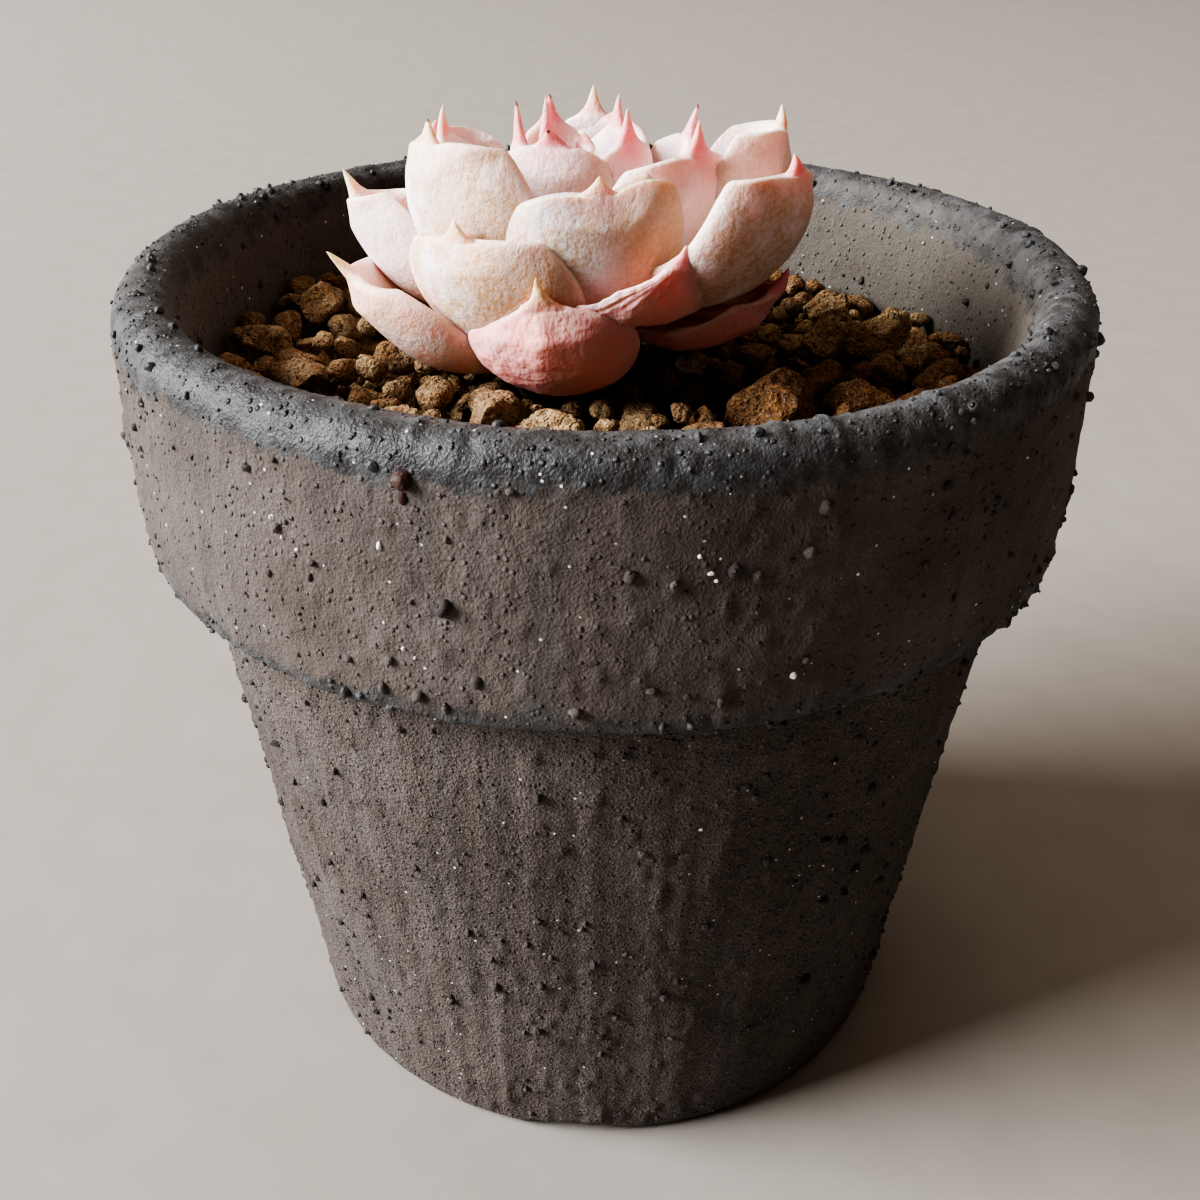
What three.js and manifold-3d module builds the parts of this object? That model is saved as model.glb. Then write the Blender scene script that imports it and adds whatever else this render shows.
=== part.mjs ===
// Peacock echeveria in a rough stoneware pot.
// Millimetres, +Z up. The origin is on the surface the pot stands on, under the middle of the pot.
// -Y is the front: the side with the large coral leaf hanging over the gravel.

import * as THREE from 'three';
import Module from 'manifold-3d';
import { ParametricGeometry } from 'three/addons/geometries/ParametricGeometry.js';
import { mergeVertices } from 'three/addons/utils/BufferGeometryUtils.js';

// Driving dimensions: pot

const POT_HEIGHT = 83;
const RIM_RADIUS = 45;
const RIM_THICKNESS = 5.4;
const COLLAR_BOTTOM = 58.6;
const COLLAR_FOOT_RADIUS = 44.6;
const COLLAR_CORNER = 1.2;
const BODY_TOP_RADIUS = 40.6;
const FOOT_RADIUS = 32.9;
const FOOT_CORNER = 1;
const WALL = 4.2;
const FLOOR_TOP = 6;
const FLOOR_CORNER = 4;
const MOUTH_TAPER = 0.11;
const UNDERSIDE_RADIUS = 27;
const UNDERSIDE_DEPTH = 1.5;
const DRAIN_RADIUS = 6;
const NOTCH_COUNT = 3;
const NOTCH_WIDTH = 10.5;
const NOTCH_HEIGHT = 1.5;
const NOTCH_DEPTH = 12;
const NOTCH_AZIMUTH = -94.5;
const POT_SIDES = 60;

// Driving dimensions: filling

const GAP = 0.3;
const CLEARANCE = 0.45;
const FILLING_SIDES = 24;
const MESH_RADIUS = 11;
const MESH_THICKNESS = 0.7;
const MESH_PITCH = 4.2;
const MESH_OPENING = 2.6;
const MIX_TOP = 61;
const GRAVEL_TOP = 71.4;
const GRAVEL_RELIEF = 0.7;
const GRAVEL_RINGS = 8;
const STONE_LIFT = 0.35;

// Driving dimensions: plant

const AXIS_X = -3;
const STEM_BOTTOM = 54;
const STEM_TOP = 83.5;
const STEM_RADIUS = 2.3;
const STEM_TOP_RADIUS = 1.1;
const STEM_TAPER = 5;
const STEM_SIDES = 12;

const BODY_STEPS = 8;
const SPIKE_STEPS = 2;
const SIDES = 8;
const TIDY = 0.04;

const wasm = await Module();
wasm.setup();

const degrees = Math.PI / 180;
const part = new THREE.Group();
part.name = 'potted_peacock_echeveria';

// Materials

function finish(color, roughness) {
  return new THREE.MeshStandardMaterial({ color, roughness, metalness: 0 });
}

const LOOKS = {
  stoneware: () => finish(0x443a36, 0.9),
  plastic: () => finish(0x1c1c1c, 0.6),
  mix: () => finish(0x3a2a1d, 1),
  gravel: () => finish(0xa07a4a, 0.95),
  stem: () => finish(0x6b4a35, 0.9),
  leaf: () => finish(0xe3cfc9, 0.55),
  oldLeaf: () => finish(0xc8706a, 0.6),
};

// Solids

function mergedShape(geometry) {
  const bare = geometry.clone();
  bare.deleteAttribute('normal');
  bare.deleteAttribute('uv');
  return mergeVertices(bare, 1e-4);
}

function solidOf(geometry) {
  const merged = mergedShape(geometry);
  const source = merged.index.array;
  const triangles = [];
  for (let i = 0; i < source.length; i += 3) {
    const [a, b, c] = [source[i], source[i + 1], source[i + 2]];
    if (a !== b && b !== c && c !== a) {
      triangles.push(a, b, c);
    }
  }
  const mesh = new wasm.Mesh({
    numProp: 3,
    vertProperties: new Float32Array(merged.attributes.position.array),
    triVerts: new Uint32Array(triangles),
  });
  return new wasm.Manifold(mesh);
}

// The solid with its whole skin moved outwards, which cuts a clearance into its neighbours.
function swollenSolid(geometry, distance) {
  const merged = mergedShape(geometry);
  merged.computeVertexNormals();
  const { position, normal } = merged.attributes;
  const place = new THREE.Vector3();
  const outwards = new THREE.Vector3();
  for (let i = 0; i < position.count; i++) {
    place.fromBufferAttribute(position, i);
    outwards.fromBufferAttribute(normal, i);
    place.addScaledVector(outwards, distance);
    position.setXYZ(i, place.x, place.y, place.z);
  }
  return solidOf(merged);
}

function geometryOf(solid) {
  const mesh = solid.getMesh();
  const geometry = new THREE.BufferGeometry();
  geometry.setAttribute('position', new THREE.BufferAttribute(mesh.vertProperties, 3));
  geometry.setIndex(new THREE.BufferAttribute(mesh.triVerts, 1));
  geometry.computeVertexNormals();
  return geometry;
}

function largestPiece(solid) {
  const pieces = solid.decompose();
  return pieces.reduce((best, piece) => (piece.volume() > best.volume() ? piece : best));
}

function boxesMeet(a, b) {
  const p = a.boundingBox();
  const q = b.boundingBox();
  return [0, 1, 2].every((k) => p.min[k] < q.max[k] && q.min[k] < p.max[k]);
}

function cutAway(solid, cutters) {
  return cutters
    .filter((cutter) => boxesMeet(solid, cutter))
    .reduce((rest, cutter) => rest.subtract(cutter), solid)
    .simplify(TIDY);
}

function add(name, solid, look) {
  const mesh = new THREE.Mesh(geometryOf(solid), LOOKS[look]());
  mesh.name = name;
  part.add(mesh);
}

function turned(profile, sides = POT_SIDES) {
  const lathe = new THREE.LatheGeometry(profile, sides);
  lathe.rotateX(Math.PI / 2);
  return lathe;
}

function arcPoints(centreR, centreZ, radius, fromDegrees, toDegrees, steps) {
  return Array.from({ length: steps + 1 }, (_, i) => {
    const angle = (fromDegrees + ((toDegrees - fromDegrees) * i) / steps) * degrees;
    return new THREE.Vector2(centreR + radius * Math.cos(angle), centreZ + radius * Math.sin(angle));
  });
}

function disc(radius, bottom, top) {
  return [
    new THREE.Vector2(0, bottom),
    new THREE.Vector2(radius, bottom),
    new THREE.Vector2(radius, top),
    new THREE.Vector2(0, top),
  ];
}

// Pot: one thrown body with a thick collar, a recessed underside and a drain hole

function innerRadius(z) {
  const bodyWall = FOOT_RADIUS + ((BODY_TOP_RADIUS - FOOT_RADIUS) * z) / COLLAR_BOTTOM - WALL;
  const mouth = RIM_RADIUS - RIM_THICKNESS - MOUTH_TAPER * (POT_HEIGHT - z);
  return z > COLLAR_BOTTOM ? Math.max(mouth, bodyWall * 0.995) : bodyWall;
}

function makePot() {
  const rim = RIM_THICKNESS / 2;
  const profile = [
    new THREE.Vector2(DRAIN_RADIUS, UNDERSIDE_DEPTH),
    new THREE.Vector2(UNDERSIDE_RADIUS, UNDERSIDE_DEPTH),
    new THREE.Vector2(UNDERSIDE_RADIUS + UNDERSIDE_DEPTH, 0),
    ...arcPoints(FOOT_RADIUS - FOOT_CORNER, FOOT_CORNER, FOOT_CORNER, -90, 5, 2),
    new THREE.Vector2(BODY_TOP_RADIUS, COLLAR_BOTTOM),
    ...arcPoints(COLLAR_FOOT_RADIUS - COLLAR_CORNER, COLLAR_BOTTOM + COLLAR_CORNER, COLLAR_CORNER, -90, 0, 2),
    ...arcPoints(RIM_RADIUS - rim, POT_HEIGHT - rim, rim, 0, 180, 6),
    new THREE.Vector2(innerRadius(GRAVEL_TOP), GRAVEL_TOP),
    new THREE.Vector2(innerRadius(COLLAR_BOTTOM), COLLAR_BOTTOM),
    ...arcPoints(innerRadius(FLOOR_TOP) - FLOOR_CORNER, FLOOR_TOP + FLOOR_CORNER, FLOOR_CORNER, 0, -90, 2),
    new THREE.Vector2(DRAIN_RADIUS, FLOOR_TOP),
    new THREE.Vector2(DRAIN_RADIUS, UNDERSIDE_DEPTH),
  ];
  const notch = new THREE.Shape();
  notch.absellipse(0, 0, NOTCH_WIDTH / 2, NOTCH_HEIGHT, 0, Math.PI * 2, false);
  const notchCut = { depth: NOTCH_DEPTH, bevelEnabled: false, curveSegments: 8 };
  let pot = solidOf(turned(profile));
  for (let i = 0; i < NOTCH_COUNT; i++) {
    const bar = new THREE.ExtrudeGeometry(notch, notchCut);
    bar.rotateX(Math.PI / 2);
    bar.translate(0, -UNDERSIDE_RADIUS + 3, 0);
    bar.rotateZ((NOTCH_AZIMUTH + 90 + (i * 360) / NOTCH_COUNT) * degrees);
    pot = pot.subtract(solidOf(bar));
  }
  add('pot', pot, 'stoneware');
}

// Filling: mesh over the drain hole, potting mix, gravel

function makeDrainageMesh() {
  const bottom = FLOOR_TOP + GAP;
  let plate = solidOf(turned(disc(MESH_RADIUS, bottom, bottom + MESH_THICKNESS), FILLING_SIDES));
  for (let i = -1; i <= 1; i++) {
    for (let j = -1; j <= 1; j++) {
      const opening = new THREE.BoxGeometry(MESH_OPENING, MESH_OPENING, 4 * MESH_THICKNESS);
      opening.translate(i * MESH_PITCH, j * MESH_PITCH, bottom);
      plate = plate.subtract(solidOf(opening));
    }
  }
  add('drainage_mesh', plate, 'plastic');
}

function stemGeometry() {
  const profile = [
    new THREE.Vector2(0, STEM_BOTTOM),
    new THREE.Vector2(STEM_RADIUS / 2, STEM_BOTTOM),
    new THREE.Vector2(STEM_RADIUS, MIX_TOP),
    new THREE.Vector2(STEM_RADIUS, STEM_TOP - STEM_TAPER),
    new THREE.Vector2(STEM_TOP_RADIUS, STEM_TOP),
    new THREE.Vector2(0, STEM_TOP),
  ];
  const stem = turned(profile, STEM_SIDES);
  stem.translate(AXIS_X, 0, 0);
  return stem;
}

function makePottingMix(stemCutter) {
  const bottom = FLOOR_TOP + MESH_THICKNESS + 2 * GAP;
  const profile = [
    new THREE.Vector2(0, bottom),
    new THREE.Vector2(innerRadius(bottom) - FLOOR_CORNER, bottom),
    new THREE.Vector2(innerRadius(FLOOR_TOP + FLOOR_CORNER) - 2 * GAP, FLOOR_TOP + FLOOR_CORNER),
    new THREE.Vector2(innerRadius(COLLAR_BOTTOM) - 2 * GAP, COLLAR_BOTTOM),
    new THREE.Vector2(innerRadius(MIX_TOP) - 2 * GAP, MIX_TOP),
    new THREE.Vector2(0, MIX_TOP),
  ];
  add('potting_mix', solidOf(turned(profile, FILLING_SIDES)).subtract(stemCutter), 'mix');
}

// The gravel's upper face dips to the right and back, and rises a little by the left wall.
function gravelHeight(x, y) {
  const slope = -0.03 * x - 0.01 * y;
  const bumps = Math.sin(x * 0.9 + 1) * Math.cos(y * 0.8) + Math.sin(x * 0.45 - y * 0.6 + 2);
  return GRAVEL_TOP + slope + GRAVEL_RELIEF * bumps;
}

// Larger stones of the top dressing: place, radius and how much each is squashed.
const STONES = [
  { at: [15.6, -11.5], radius: 4.6, squash: 0.8 },
  { at: [23.5, -8.8], radius: 3.4, squash: 0.75 },
  { at: [22.4, 5.5], radius: 3.6, squash: 0.8 },
  { at: [28.2, 7.6], radius: 3.4, squash: 0.85 },
  { at: [32.8, -1.4], radius: 3, squash: 0.8 },
  { at: [24, 16.6], radius: 3, squash: 0.8 },
  { at: [8.4, -18.6], radius: 3, squash: 0.75 },
  { at: [-9.9, -15.5], radius: 3.1, squash: 0.85 },
  { at: [-4.9, -18.8], radius: 3.3, squash: 0.85 },
  { at: [-17, -19.5], radius: 2.6, squash: 0.75 },
  { at: [-27.6, -9.4], radius: 2.8, squash: 0.75 },
  { at: [-33.6, 1.6], radius: 3, squash: 0.75 },
  { at: [-29.6, 12.4], radius: 3.2, squash: 0.75 },
  { at: [-16.5, 24], radius: 3.2, squash: 0.8 },
  { at: [-2, 29.5], radius: 3.4, squash: 0.8 },
  { at: [12.5, 26.6], radius: 3, squash: 0.8 },
];

function stoneGeometry(stone, index) {
  const geometry = new THREE.IcosahedronGeometry(1, 1);
  const position = geometry.attributes.position;
  const point = new THREE.Vector3();
  for (let i = 0; i < position.count; i++) {
    point.fromBufferAttribute(position, i);
    const dents = Math.sin(3.1 * point.x + index) * Math.cos(2.7 * point.y - index) * Math.cos(2 * point.z);
    const size = stone.radius * (0.94 + 0.14 * dents);
    position.setXYZ(i, point.x * size, point.y * size * 0.92, point.z * size * stone.squash);
  }
  geometry.rotateZ(index * 1.3);
  const [x, y] = stone.at;
  geometry.translate(x, y, gravelHeight(x, y) + stone.radius * STONE_LIFT);
  return geometry;
}

function makeGravel(stemCutter, plantCutters) {
  const wall = 2 * GAP;
  const profile = [
    new THREE.Vector2(0, MIX_TOP + GAP),
    new THREE.Vector2(innerRadius(MIX_TOP) - wall, MIX_TOP + GAP),
  ];
  for (let i = GRAVEL_RINGS; i >= 0; i--) {
    profile.push(new THREE.Vector2(((innerRadius(GRAVEL_TOP - 2) - wall) * i) / GRAVEL_RINGS, GRAVEL_TOP));
  }
  const bed = turned(profile, FILLING_SIDES);
  const position = bed.attributes.position;
  for (let i = 0; i < position.count; i++) {
    if (position.getZ(i) > GRAVEL_TOP - 1) {
      position.setZ(i, gravelHeight(position.getX(i), position.getY(i)));
    }
  }
  const placed = [];
  STONES.forEach((stone, index) => {
    const geometry = stoneGeometry(stone, index);
    const solid = cutAway(solidOf(geometry), [...plantCutters, ...placed]);
    add(`stone_${index + 1}`, largestPiece(solid), 'gravel');
    placed.push(swollenSolid(geometry, CLEARANCE));
  });
  const sockets = [stemCutter, ...plantCutters, ...placed];
  add('gravel_bed', largestPiece(cutAway(solidOf(bed), sockets)), 'gravel');
}

// Leaves: a midrib that leaves the stem, runs outward and turns up, ending in a pointed tip.
// azimuth: 0 is +X and -90 is the front. base: [distance from the stem's axis, height].
// crest: the same for the top of the leaf, where the point begins. leave, arrive and point are
// the midrib's slopes there. widest: share of the length. square: how flat the top edge is.
// cup: how far the margins curl in. back and face: thickness behind and before the midrib.
// ears: how far both top corners rise, tilt: how much more the left or right one does. lean: how
// far the point leans sideways. ripples: waves of the top edge, [place across, reach, height].

const SHAPE = {
  outer: { base: [2.6, 78], widest: 0.65, square: 2.2, narrow: 0.35, cup: 0.8, back: 2.3, face: 0.5 },
  inner: { base: [2, 83], widest: 0.62, square: 2.2, narrow: 0.38, cup: 0.9, back: 1.6, face: 0.4 },
  heart: { base: [1.1, 84.6], widest: 0.6, square: 2, narrow: 0.4, cup: 0.9, back: 1.3, face: 0.3 },
  withered: { base: [2.6, 77.5], widest: 0.62, square: 2, narrow: 0.3, cup: 0.5, back: 0.9, face: 0.4 },
};

const LEAVES = [
  { name: 'leaf_old_2', shape: 'withered', azimuth: -58, base: [2.6, 80.5], crest: [18, 86.4], leave: 0,
    arrive: 80, point: 88, halfWidth: 7.8, spike: 1.8, square: 1.8, tilt: 0.6 },
  { name: 'leaf_old_3', shape: 'withered', azimuth: -24, base: [2.6, 78.2], crest: [20.2, 82.2],
    leave: -20, arrive: 58, point: 75, halfWidth: 6.4, spike: 2.2, cup: 0.8 },
  { name: 'leaf_heart_1', shape: 'heart', azimuth: 175, crest: [2.4, 93.4], leave: 50, arrive: 90,
    point: 90, halfWidth: 2.8, spike: 3.6 },
  { name: 'leaf_heart_2', shape: 'heart', azimuth: 28, crest: [4.6, 93.6], leave: 40, arrive: 92,
    point: 84, halfWidth: 4.8, spike: 3.2 },
  { name: 'leaf_heart_3', shape: 'heart', azimuth: -44, crest: [6.8, 93.8], leave: 10, arrive: 92,
    point: 92, halfWidth: 5.6, spike: 3.2, back: 1.5 },
  { name: 'leaf_heart_4', shape: 'heart', azimuth: 112, crest: [5.8, 93.2], leave: 20, arrive: 85,
    point: 92, halfWidth: 4.4, spike: 3 },
  { name: 'leaf_heart_5', shape: 'heart', azimuth: -158, crest: [5, 92.8], leave: 20, arrive: 85,
    point: 86, halfWidth: 4.2, spike: 4.3 },
  { name: 'leaf_heart_6', shape: 'heart', azimuth: -8, crest: [5.6, 92.4], leave: 15, arrive: 85,
    point: 95, halfWidth: 3.6, spike: 1.5 },
  { name: 'leaf_heart_7', shape: 'heart', azimuth: 20, base: [0.3, 85.5], crest: [1.2, 92.8], leave: 80,
    arrive: 92, point: 100, halfWidth: 1.9, spike: 1, back: 0.9 },
  { name: 'leaf_heart_8', shape: 'heart', azimuth: -120, base: [0.3, 85.5], crest: [1, 92.2], leave: 80,
    arrive: 92, point: 100, halfWidth: 1.6, spike: 0.9, back: 0.8 },
  { name: 'leaf_inner_1', shape: 'inner', azimuth: -103, crest: [7.6, 94.2], leave: 5, arrive: 88,
    point: 15, halfWidth: 5.8, spike: 2.2, back: 1.8, ears: 0.8 },
  { name: 'leaf_inner_2', shape: 'inner', azimuth: 62, crest: [8.4, 93.4], leave: 15, arrive: 85,
    point: 95, halfWidth: 5.4, spike: 0.9 },
  { name: 'leaf_inner_3', shape: 'inner', azimuth: 78, crest: [8.6, 93.4], leave: 10, arrive: 85,
    point: 88, halfWidth: 5, spike: 3, back: 1.8 },
  { name: 'leaf_inner_4', shape: 'inner', azimuth: 8, crest: [10.6, 92.9], leave: 15, arrive: 75,
    point: 75, halfWidth: 5.2, spike: 3.4, tilt: 1 },
  { name: 'leaf_inner_5', shape: 'inner', azimuth: 170, crest: [12, 92.8], leave: 5, arrive: 80,
    point: 100, halfWidth: 5.6, spike: 3, back: 1.8 },
  { name: 'leaf_inner_6', shape: 'inner', azimuth: -38, crest: [13.6, 94], leave: -10, arrive: 85,
    point: 90, halfWidth: 8.6, spike: 2.8, square: 2.5, back: 2, tilt: -1.2 },
  { name: 'leaf_inner_7', shape: 'inner', azimuth: 112, crest: [12, 89.8], leave: -5, arrive: 80,
    point: 85, halfWidth: 6.4, spike: 1.6, square: 2.4, back: 2 },
  { name: 'leaf_inner_8', shape: 'inner', azimuth: 47, crest: [14.2, 89.4], leave: -5, arrive: 80,
    point: 85, halfWidth: 6.6, spike: 1.6, square: 2.4, back: 2 },
  { name: 'leaf_middle_1', shape: 'outer', azimuth: -4, base: [2.6, 81.8], crest: [18.6, 94.7],
    leave: 0, arrive: 82, point: 98, halfWidth: 8.8, spike: 2, square: 2.5, cup: 1.4, back: 2,
    ears: 1.3, tilt: -1 },
  { name: 'leaf_middle_2', shape: 'outer', azimuth: 148, base: [2.6, 81], crest: [15.5, 92.2], leave: 0,
    arrive: 80, point: 85, halfWidth: 7.4, spike: 0.9, square: 2.6, cup: 0.9, back: 1.9 },
  { name: 'leaf_middle_3', shape: 'outer', azimuth: -149, base: [2.6, 81], crest: [14.2, 94.5],
    leave: -12, arrive: 88, point: 90, halfWidth: 10.9, spike: 2.1, square: 2.2, cup: 1, back: 2.2,
    ears: 1.1, tilt: 1.9 },
  { name: 'leaf_middle_4', shape: 'outer', azimuth: -27, base: [2.6, 81.6], crest: [21.4, 92.8],
    leave: -5, arrive: 84, point: 112, halfWidth: 10.2, spike: 1.6, square: 2.9, ears: 0.4,
    tilt: -2.2 },
  { name: 'leaf_middle_5', shape: 'outer', azimuth: -80, base: [2.6, 80], crest: [13.8, 91.8],
    leave: -28, arrive: 85, point: 90, halfWidth: 8.3, spike: 1.6, square: 2.8, cup: 0.6, ears: 0.8,
    tilt: 0.7, ripples: [[0.72, 0.27, 2.9], [0.28, 0.2, -0.7], [-0.75, 0.35, 1.3]] },
  { name: 'leaf_middle_6', shape: 'outer', azimuth: 80, base: [2.6, 80], crest: [16.4, 88.2],
    leave: -10, arrive: 75, point: 80, halfWidth: 7.8, spike: 2.2, square: 2.4 },
  { name: 'leaf_outer_1', shape: 'outer', azimuth: -126, base: [2.6, 79], crest: [16.3, 87.8],
    leave: -28, arrive: 80, point: 80, halfWidth: 10.1, spike: 1.9, square: 2.1, ears: 1.2, tilt: 1.2 },
  { name: 'leaf_outer_2', shape: 'outer', azimuth: 176, base: [2.6, 80], crest: [20.2, 87.8],
    leave: -12, arrive: 64, point: 62, halfWidth: 8.6, spike: 2.6, cup: 1.5, ears: 0.6, tilt: 1.5 },
  { name: 'leaf_outer_3', shape: 'outer', azimuth: 107, crest: [20, 84], leave: -20, arrive: 55,
    point: 60, halfWidth: 8, spike: 3 },
  { name: 'leaf_outer_4', shape: 'outer', azimuth: 40, crest: [20, 84.6], leave: -20, arrive: 60,
    point: 70, halfWidth: 8, spike: 3 },
  { name: 'leaf_outer_5', shape: 'outer', azimuth: -161, base: [2.6, 77], crest: [21, 82.8], leave: -32,
    arrive: 48, point: 48, halfWidth: 8, spike: 3.1, back: 2.6 },
  { name: 'leaf_old_1', shape: 'outer', azimuth: -98, base: [2.6, 76.2], crest: [16.6, 83.1],
    leave: -37, arrive: 66, point: 80, halfWidth: 8.1, spike: 3, square: 1.9, cup: 0.65, back: 2.6,
    ears: -0.6, tilt: 1, lean: -8 },
];

const SPIKE_RADIUS = 0.75;
const SPIKE_FLARE = 1.55;
const FLARE_FADE = 0.9;
const SPIKE_ROOT = 2.5;
const CREST_THINNING = 2.2;
const MIDRIB_PULL = 0.47;
const CORNERS_FROM = 0.55;
const LEAST_CUP = 1e-3;

function clamp01(value) {
  return Math.min(Math.max(value, 0), 1);
}

function midrib(leaf) {
  const [startR, startZ] = leaf.base;
  const [endR, endZ] = leaf.crest;
  const reach = MIDRIB_PULL * Math.hypot(endR - startR, endZ - startZ);
  const leave = leaf.leave * degrees;
  const arrive = leaf.arrive * degrees;
  return new THREE.CubicBezierCurve(
    new THREE.Vector2(startR, startZ),
    new THREE.Vector2(startR + reach * Math.cos(leave), startZ + reach * Math.sin(leave)),
    new THREE.Vector2(endR - reach * Math.cos(arrive), endZ - reach * Math.sin(arrive)),
    new THREE.Vector2(endR, endZ),
  );
}

// One cross-section of a leaf. past is the distance beyond the crest, negative on the blade.
function leafSection(leaf, curve, length, step) {
  const share = step <= BODY_STEPS ? 1 - (1 - step / BODY_STEPS) ** 1.35 : 1;
  const spikeShare = Math.max(step - BODY_STEPS, 0) / SPIKE_STEPS;
  const centre = curve.getPointAt(share);
  const tangent = curve.getTangentAt(share);
  let slope = Math.atan2(tangent.y, tangent.x);
  const turn = (leaf.point - leaf.arrive) * degrees * spikeShare;
  if (spikeShare > 0) {
    const heading = leaf.arrive * degrees + turn / 2;
    centre.x += leaf.spike * spikeShare * Math.cos(heading);
    centre.y += leaf.spike * spikeShare * Math.sin(heading);
    slope = leaf.arrive * degrees + turn;
  }
  const past = spikeShare > 0 ? spikeShare * leaf.spike : (share - 1) * length;
  const rise = Math.sin((clamp01(share / leaf.widest) * Math.PI) / 2) ** 1.15;
  const fall = clamp01((share - leaf.widest) / (1 - leaf.widest));
  const blade = share > leaf.widest
    ? (1 - fall ** leaf.square) ** (1 / leaf.square)
    : leaf.narrow + (1 - leaf.narrow) * rise;
  const fade = (1 - spikeShare) ** 0.75;
  const flare = SPIKE_FLARE * Math.exp(-Math.max(past + 0.25, 0) / FLARE_FADE) * (1 - spikeShare);
  const root = clamp01((past + SPIKE_ROOT) / SPIKE_ROOT);
  const point = (SPIKE_RADIUS * fade + flare) * root;
  const bladeWidth = spikeShare > 0 ? 0 : leaf.halfWidth * blade;
  const onBlade = clamp01(-past / CREST_THINNING);
  const belly = 0.25 + 0.75 * Math.sin(share ** 0.8 * Math.PI * 0.8);
  const core = 0.85 * SPIKE_RADIUS * fade;
  return {
    centre,
    slope,
    share,
    past,
    onBlade,
    width: Math.cbrt(bladeWidth ** 3 + point ** 3),
    back: leaf.back * belly * onBlade + core * (1 - onBlade),
    face: leaf.face * belly * onBlade + core * (1 - onBlade),
    cup: leaf.cup * clamp01(share / 0.35) * onBlade,
  };
}

function leafGeometry(given) {
  const leaf = { ears: 0, tilt: 0, lean: 0, ripples: [], ...SHAPE[given.shape], ...given };
  const curve = midrib(leaf);
  const length = curve.getLength();
  const steps = BODY_STEPS + SPIKE_STEPS;
  const sections = Array.from({ length: steps + 1 }, (_, i) => leafSection(leaf, curve, length, i));
  const azimuth = leaf.azimuth * degrees;
  const surface = (around, along, target) => {
    const row = Math.round(along * (steps + 2)) - 1;
    const section = sections[Math.min(Math.max(row, 0), steps)];
    const closed = row < 0 || row >= steps;
    const turn = (Math.round(around * SIDES) % SIDES) * ((Math.PI * 2) / SIDES);
    const across = closed ? 0 : Math.cos(turn);
    const curl = Math.max(section.cup, LEAST_CUP);
    const half = Math.abs(Math.sin(turn)) ** 0.8;
    const thickness = Math.sin(turn) < 0 ? -section.back * half : section.face * half;
    const off = closed ? 0 : thickness;
    const bend = curl * across;
    const side = (Math.sin(bend) / curl) * section.width - Math.sin(bend) * off;
    const lift = ((1 - Math.cos(bend)) / curl) * section.width + Math.cos(bend) * off;
    const corner = clamp01((section.share - CORNERS_FROM) / (1 - CORNERS_FROM)) * Math.sqrt(section.onBlade);
    const ripple = leaf.ripples.reduce(
      (sum, [place, reach, height]) => sum + height * Math.exp(-(((across - place) / reach) ** 2)),
      0,
    );
    const forward = corner * (leaf.ears * Math.abs(across) ** 1.5 + leaf.tilt * across + ripple);
    const sideways = side + Math.tan(leaf.lean * degrees) * Math.max(section.past, 0);
    const r = section.centre.x - Math.sin(section.slope) * lift + Math.cos(section.slope) * forward;
    const z = section.centre.y + Math.cos(section.slope) * lift + Math.sin(section.slope) * forward;
    target.set(
      AXIS_X + Math.cos(azimuth) * r - Math.sin(azimuth) * sideways,
      Math.sin(azimuth) * r + Math.cos(azimuth) * sideways,
      z,
    );
  };
  return new ParametricGeometry(surface, SIDES, steps + 2);
}

// The two thin withered leaves and then the inner leaves keep their full form, and each leaf
// after them in the list is pressed against those before it.
function makeLeaves(stemCutter) {
  const cutters = [];
  for (const leaf of LEAVES) {
    const geometry = leafGeometry(leaf);
    const look = leaf.name.startsWith('leaf_old') ? 'oldLeaf' : 'leaf';
    add(leaf.name, largestPiece(cutAway(solidOf(geometry), [stemCutter, ...cutters])), look);
    cutters.push(swollenSolid(geometry, CLEARANCE));
  }
  return cutters;
}

// Assembly

makePot();
makeDrainageMesh();
add('stem', solidOf(stemGeometry()), 'stem');
const stemCutter = swollenSolid(stemGeometry(), CLEARANCE);
makePottingMix(stemCutter);
const leafCutters = makeLeaves(stemCutter);
makeGravel(stemCutter, leafCutters);

export default part;
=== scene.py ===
"""A small peacock echeveria in a rough stoneware pot.

Lengths in this script are millimetres in the model's frame: +Z up, -Y towards the viewer, and the
origin under the middle of the pot. make_mesh turns them into metres. Only the stage and the lights
are given in metres.
"""

import math

import bmesh
import bpy
import numpy as np
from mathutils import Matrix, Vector
from mathutils.kdtree import KDTree


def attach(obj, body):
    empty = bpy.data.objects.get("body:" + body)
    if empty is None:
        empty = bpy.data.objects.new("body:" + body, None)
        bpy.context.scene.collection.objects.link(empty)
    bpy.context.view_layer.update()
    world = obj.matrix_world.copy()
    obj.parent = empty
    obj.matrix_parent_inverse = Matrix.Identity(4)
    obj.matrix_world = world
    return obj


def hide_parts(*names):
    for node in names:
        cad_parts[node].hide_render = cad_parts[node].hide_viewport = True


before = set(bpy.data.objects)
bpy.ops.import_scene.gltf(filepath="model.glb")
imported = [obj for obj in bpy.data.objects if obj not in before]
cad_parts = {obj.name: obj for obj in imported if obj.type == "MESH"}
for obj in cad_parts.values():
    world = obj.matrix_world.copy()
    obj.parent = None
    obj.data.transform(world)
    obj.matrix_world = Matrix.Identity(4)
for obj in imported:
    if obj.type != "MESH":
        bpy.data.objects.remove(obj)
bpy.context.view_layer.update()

MM = 0.001

# Pot

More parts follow.
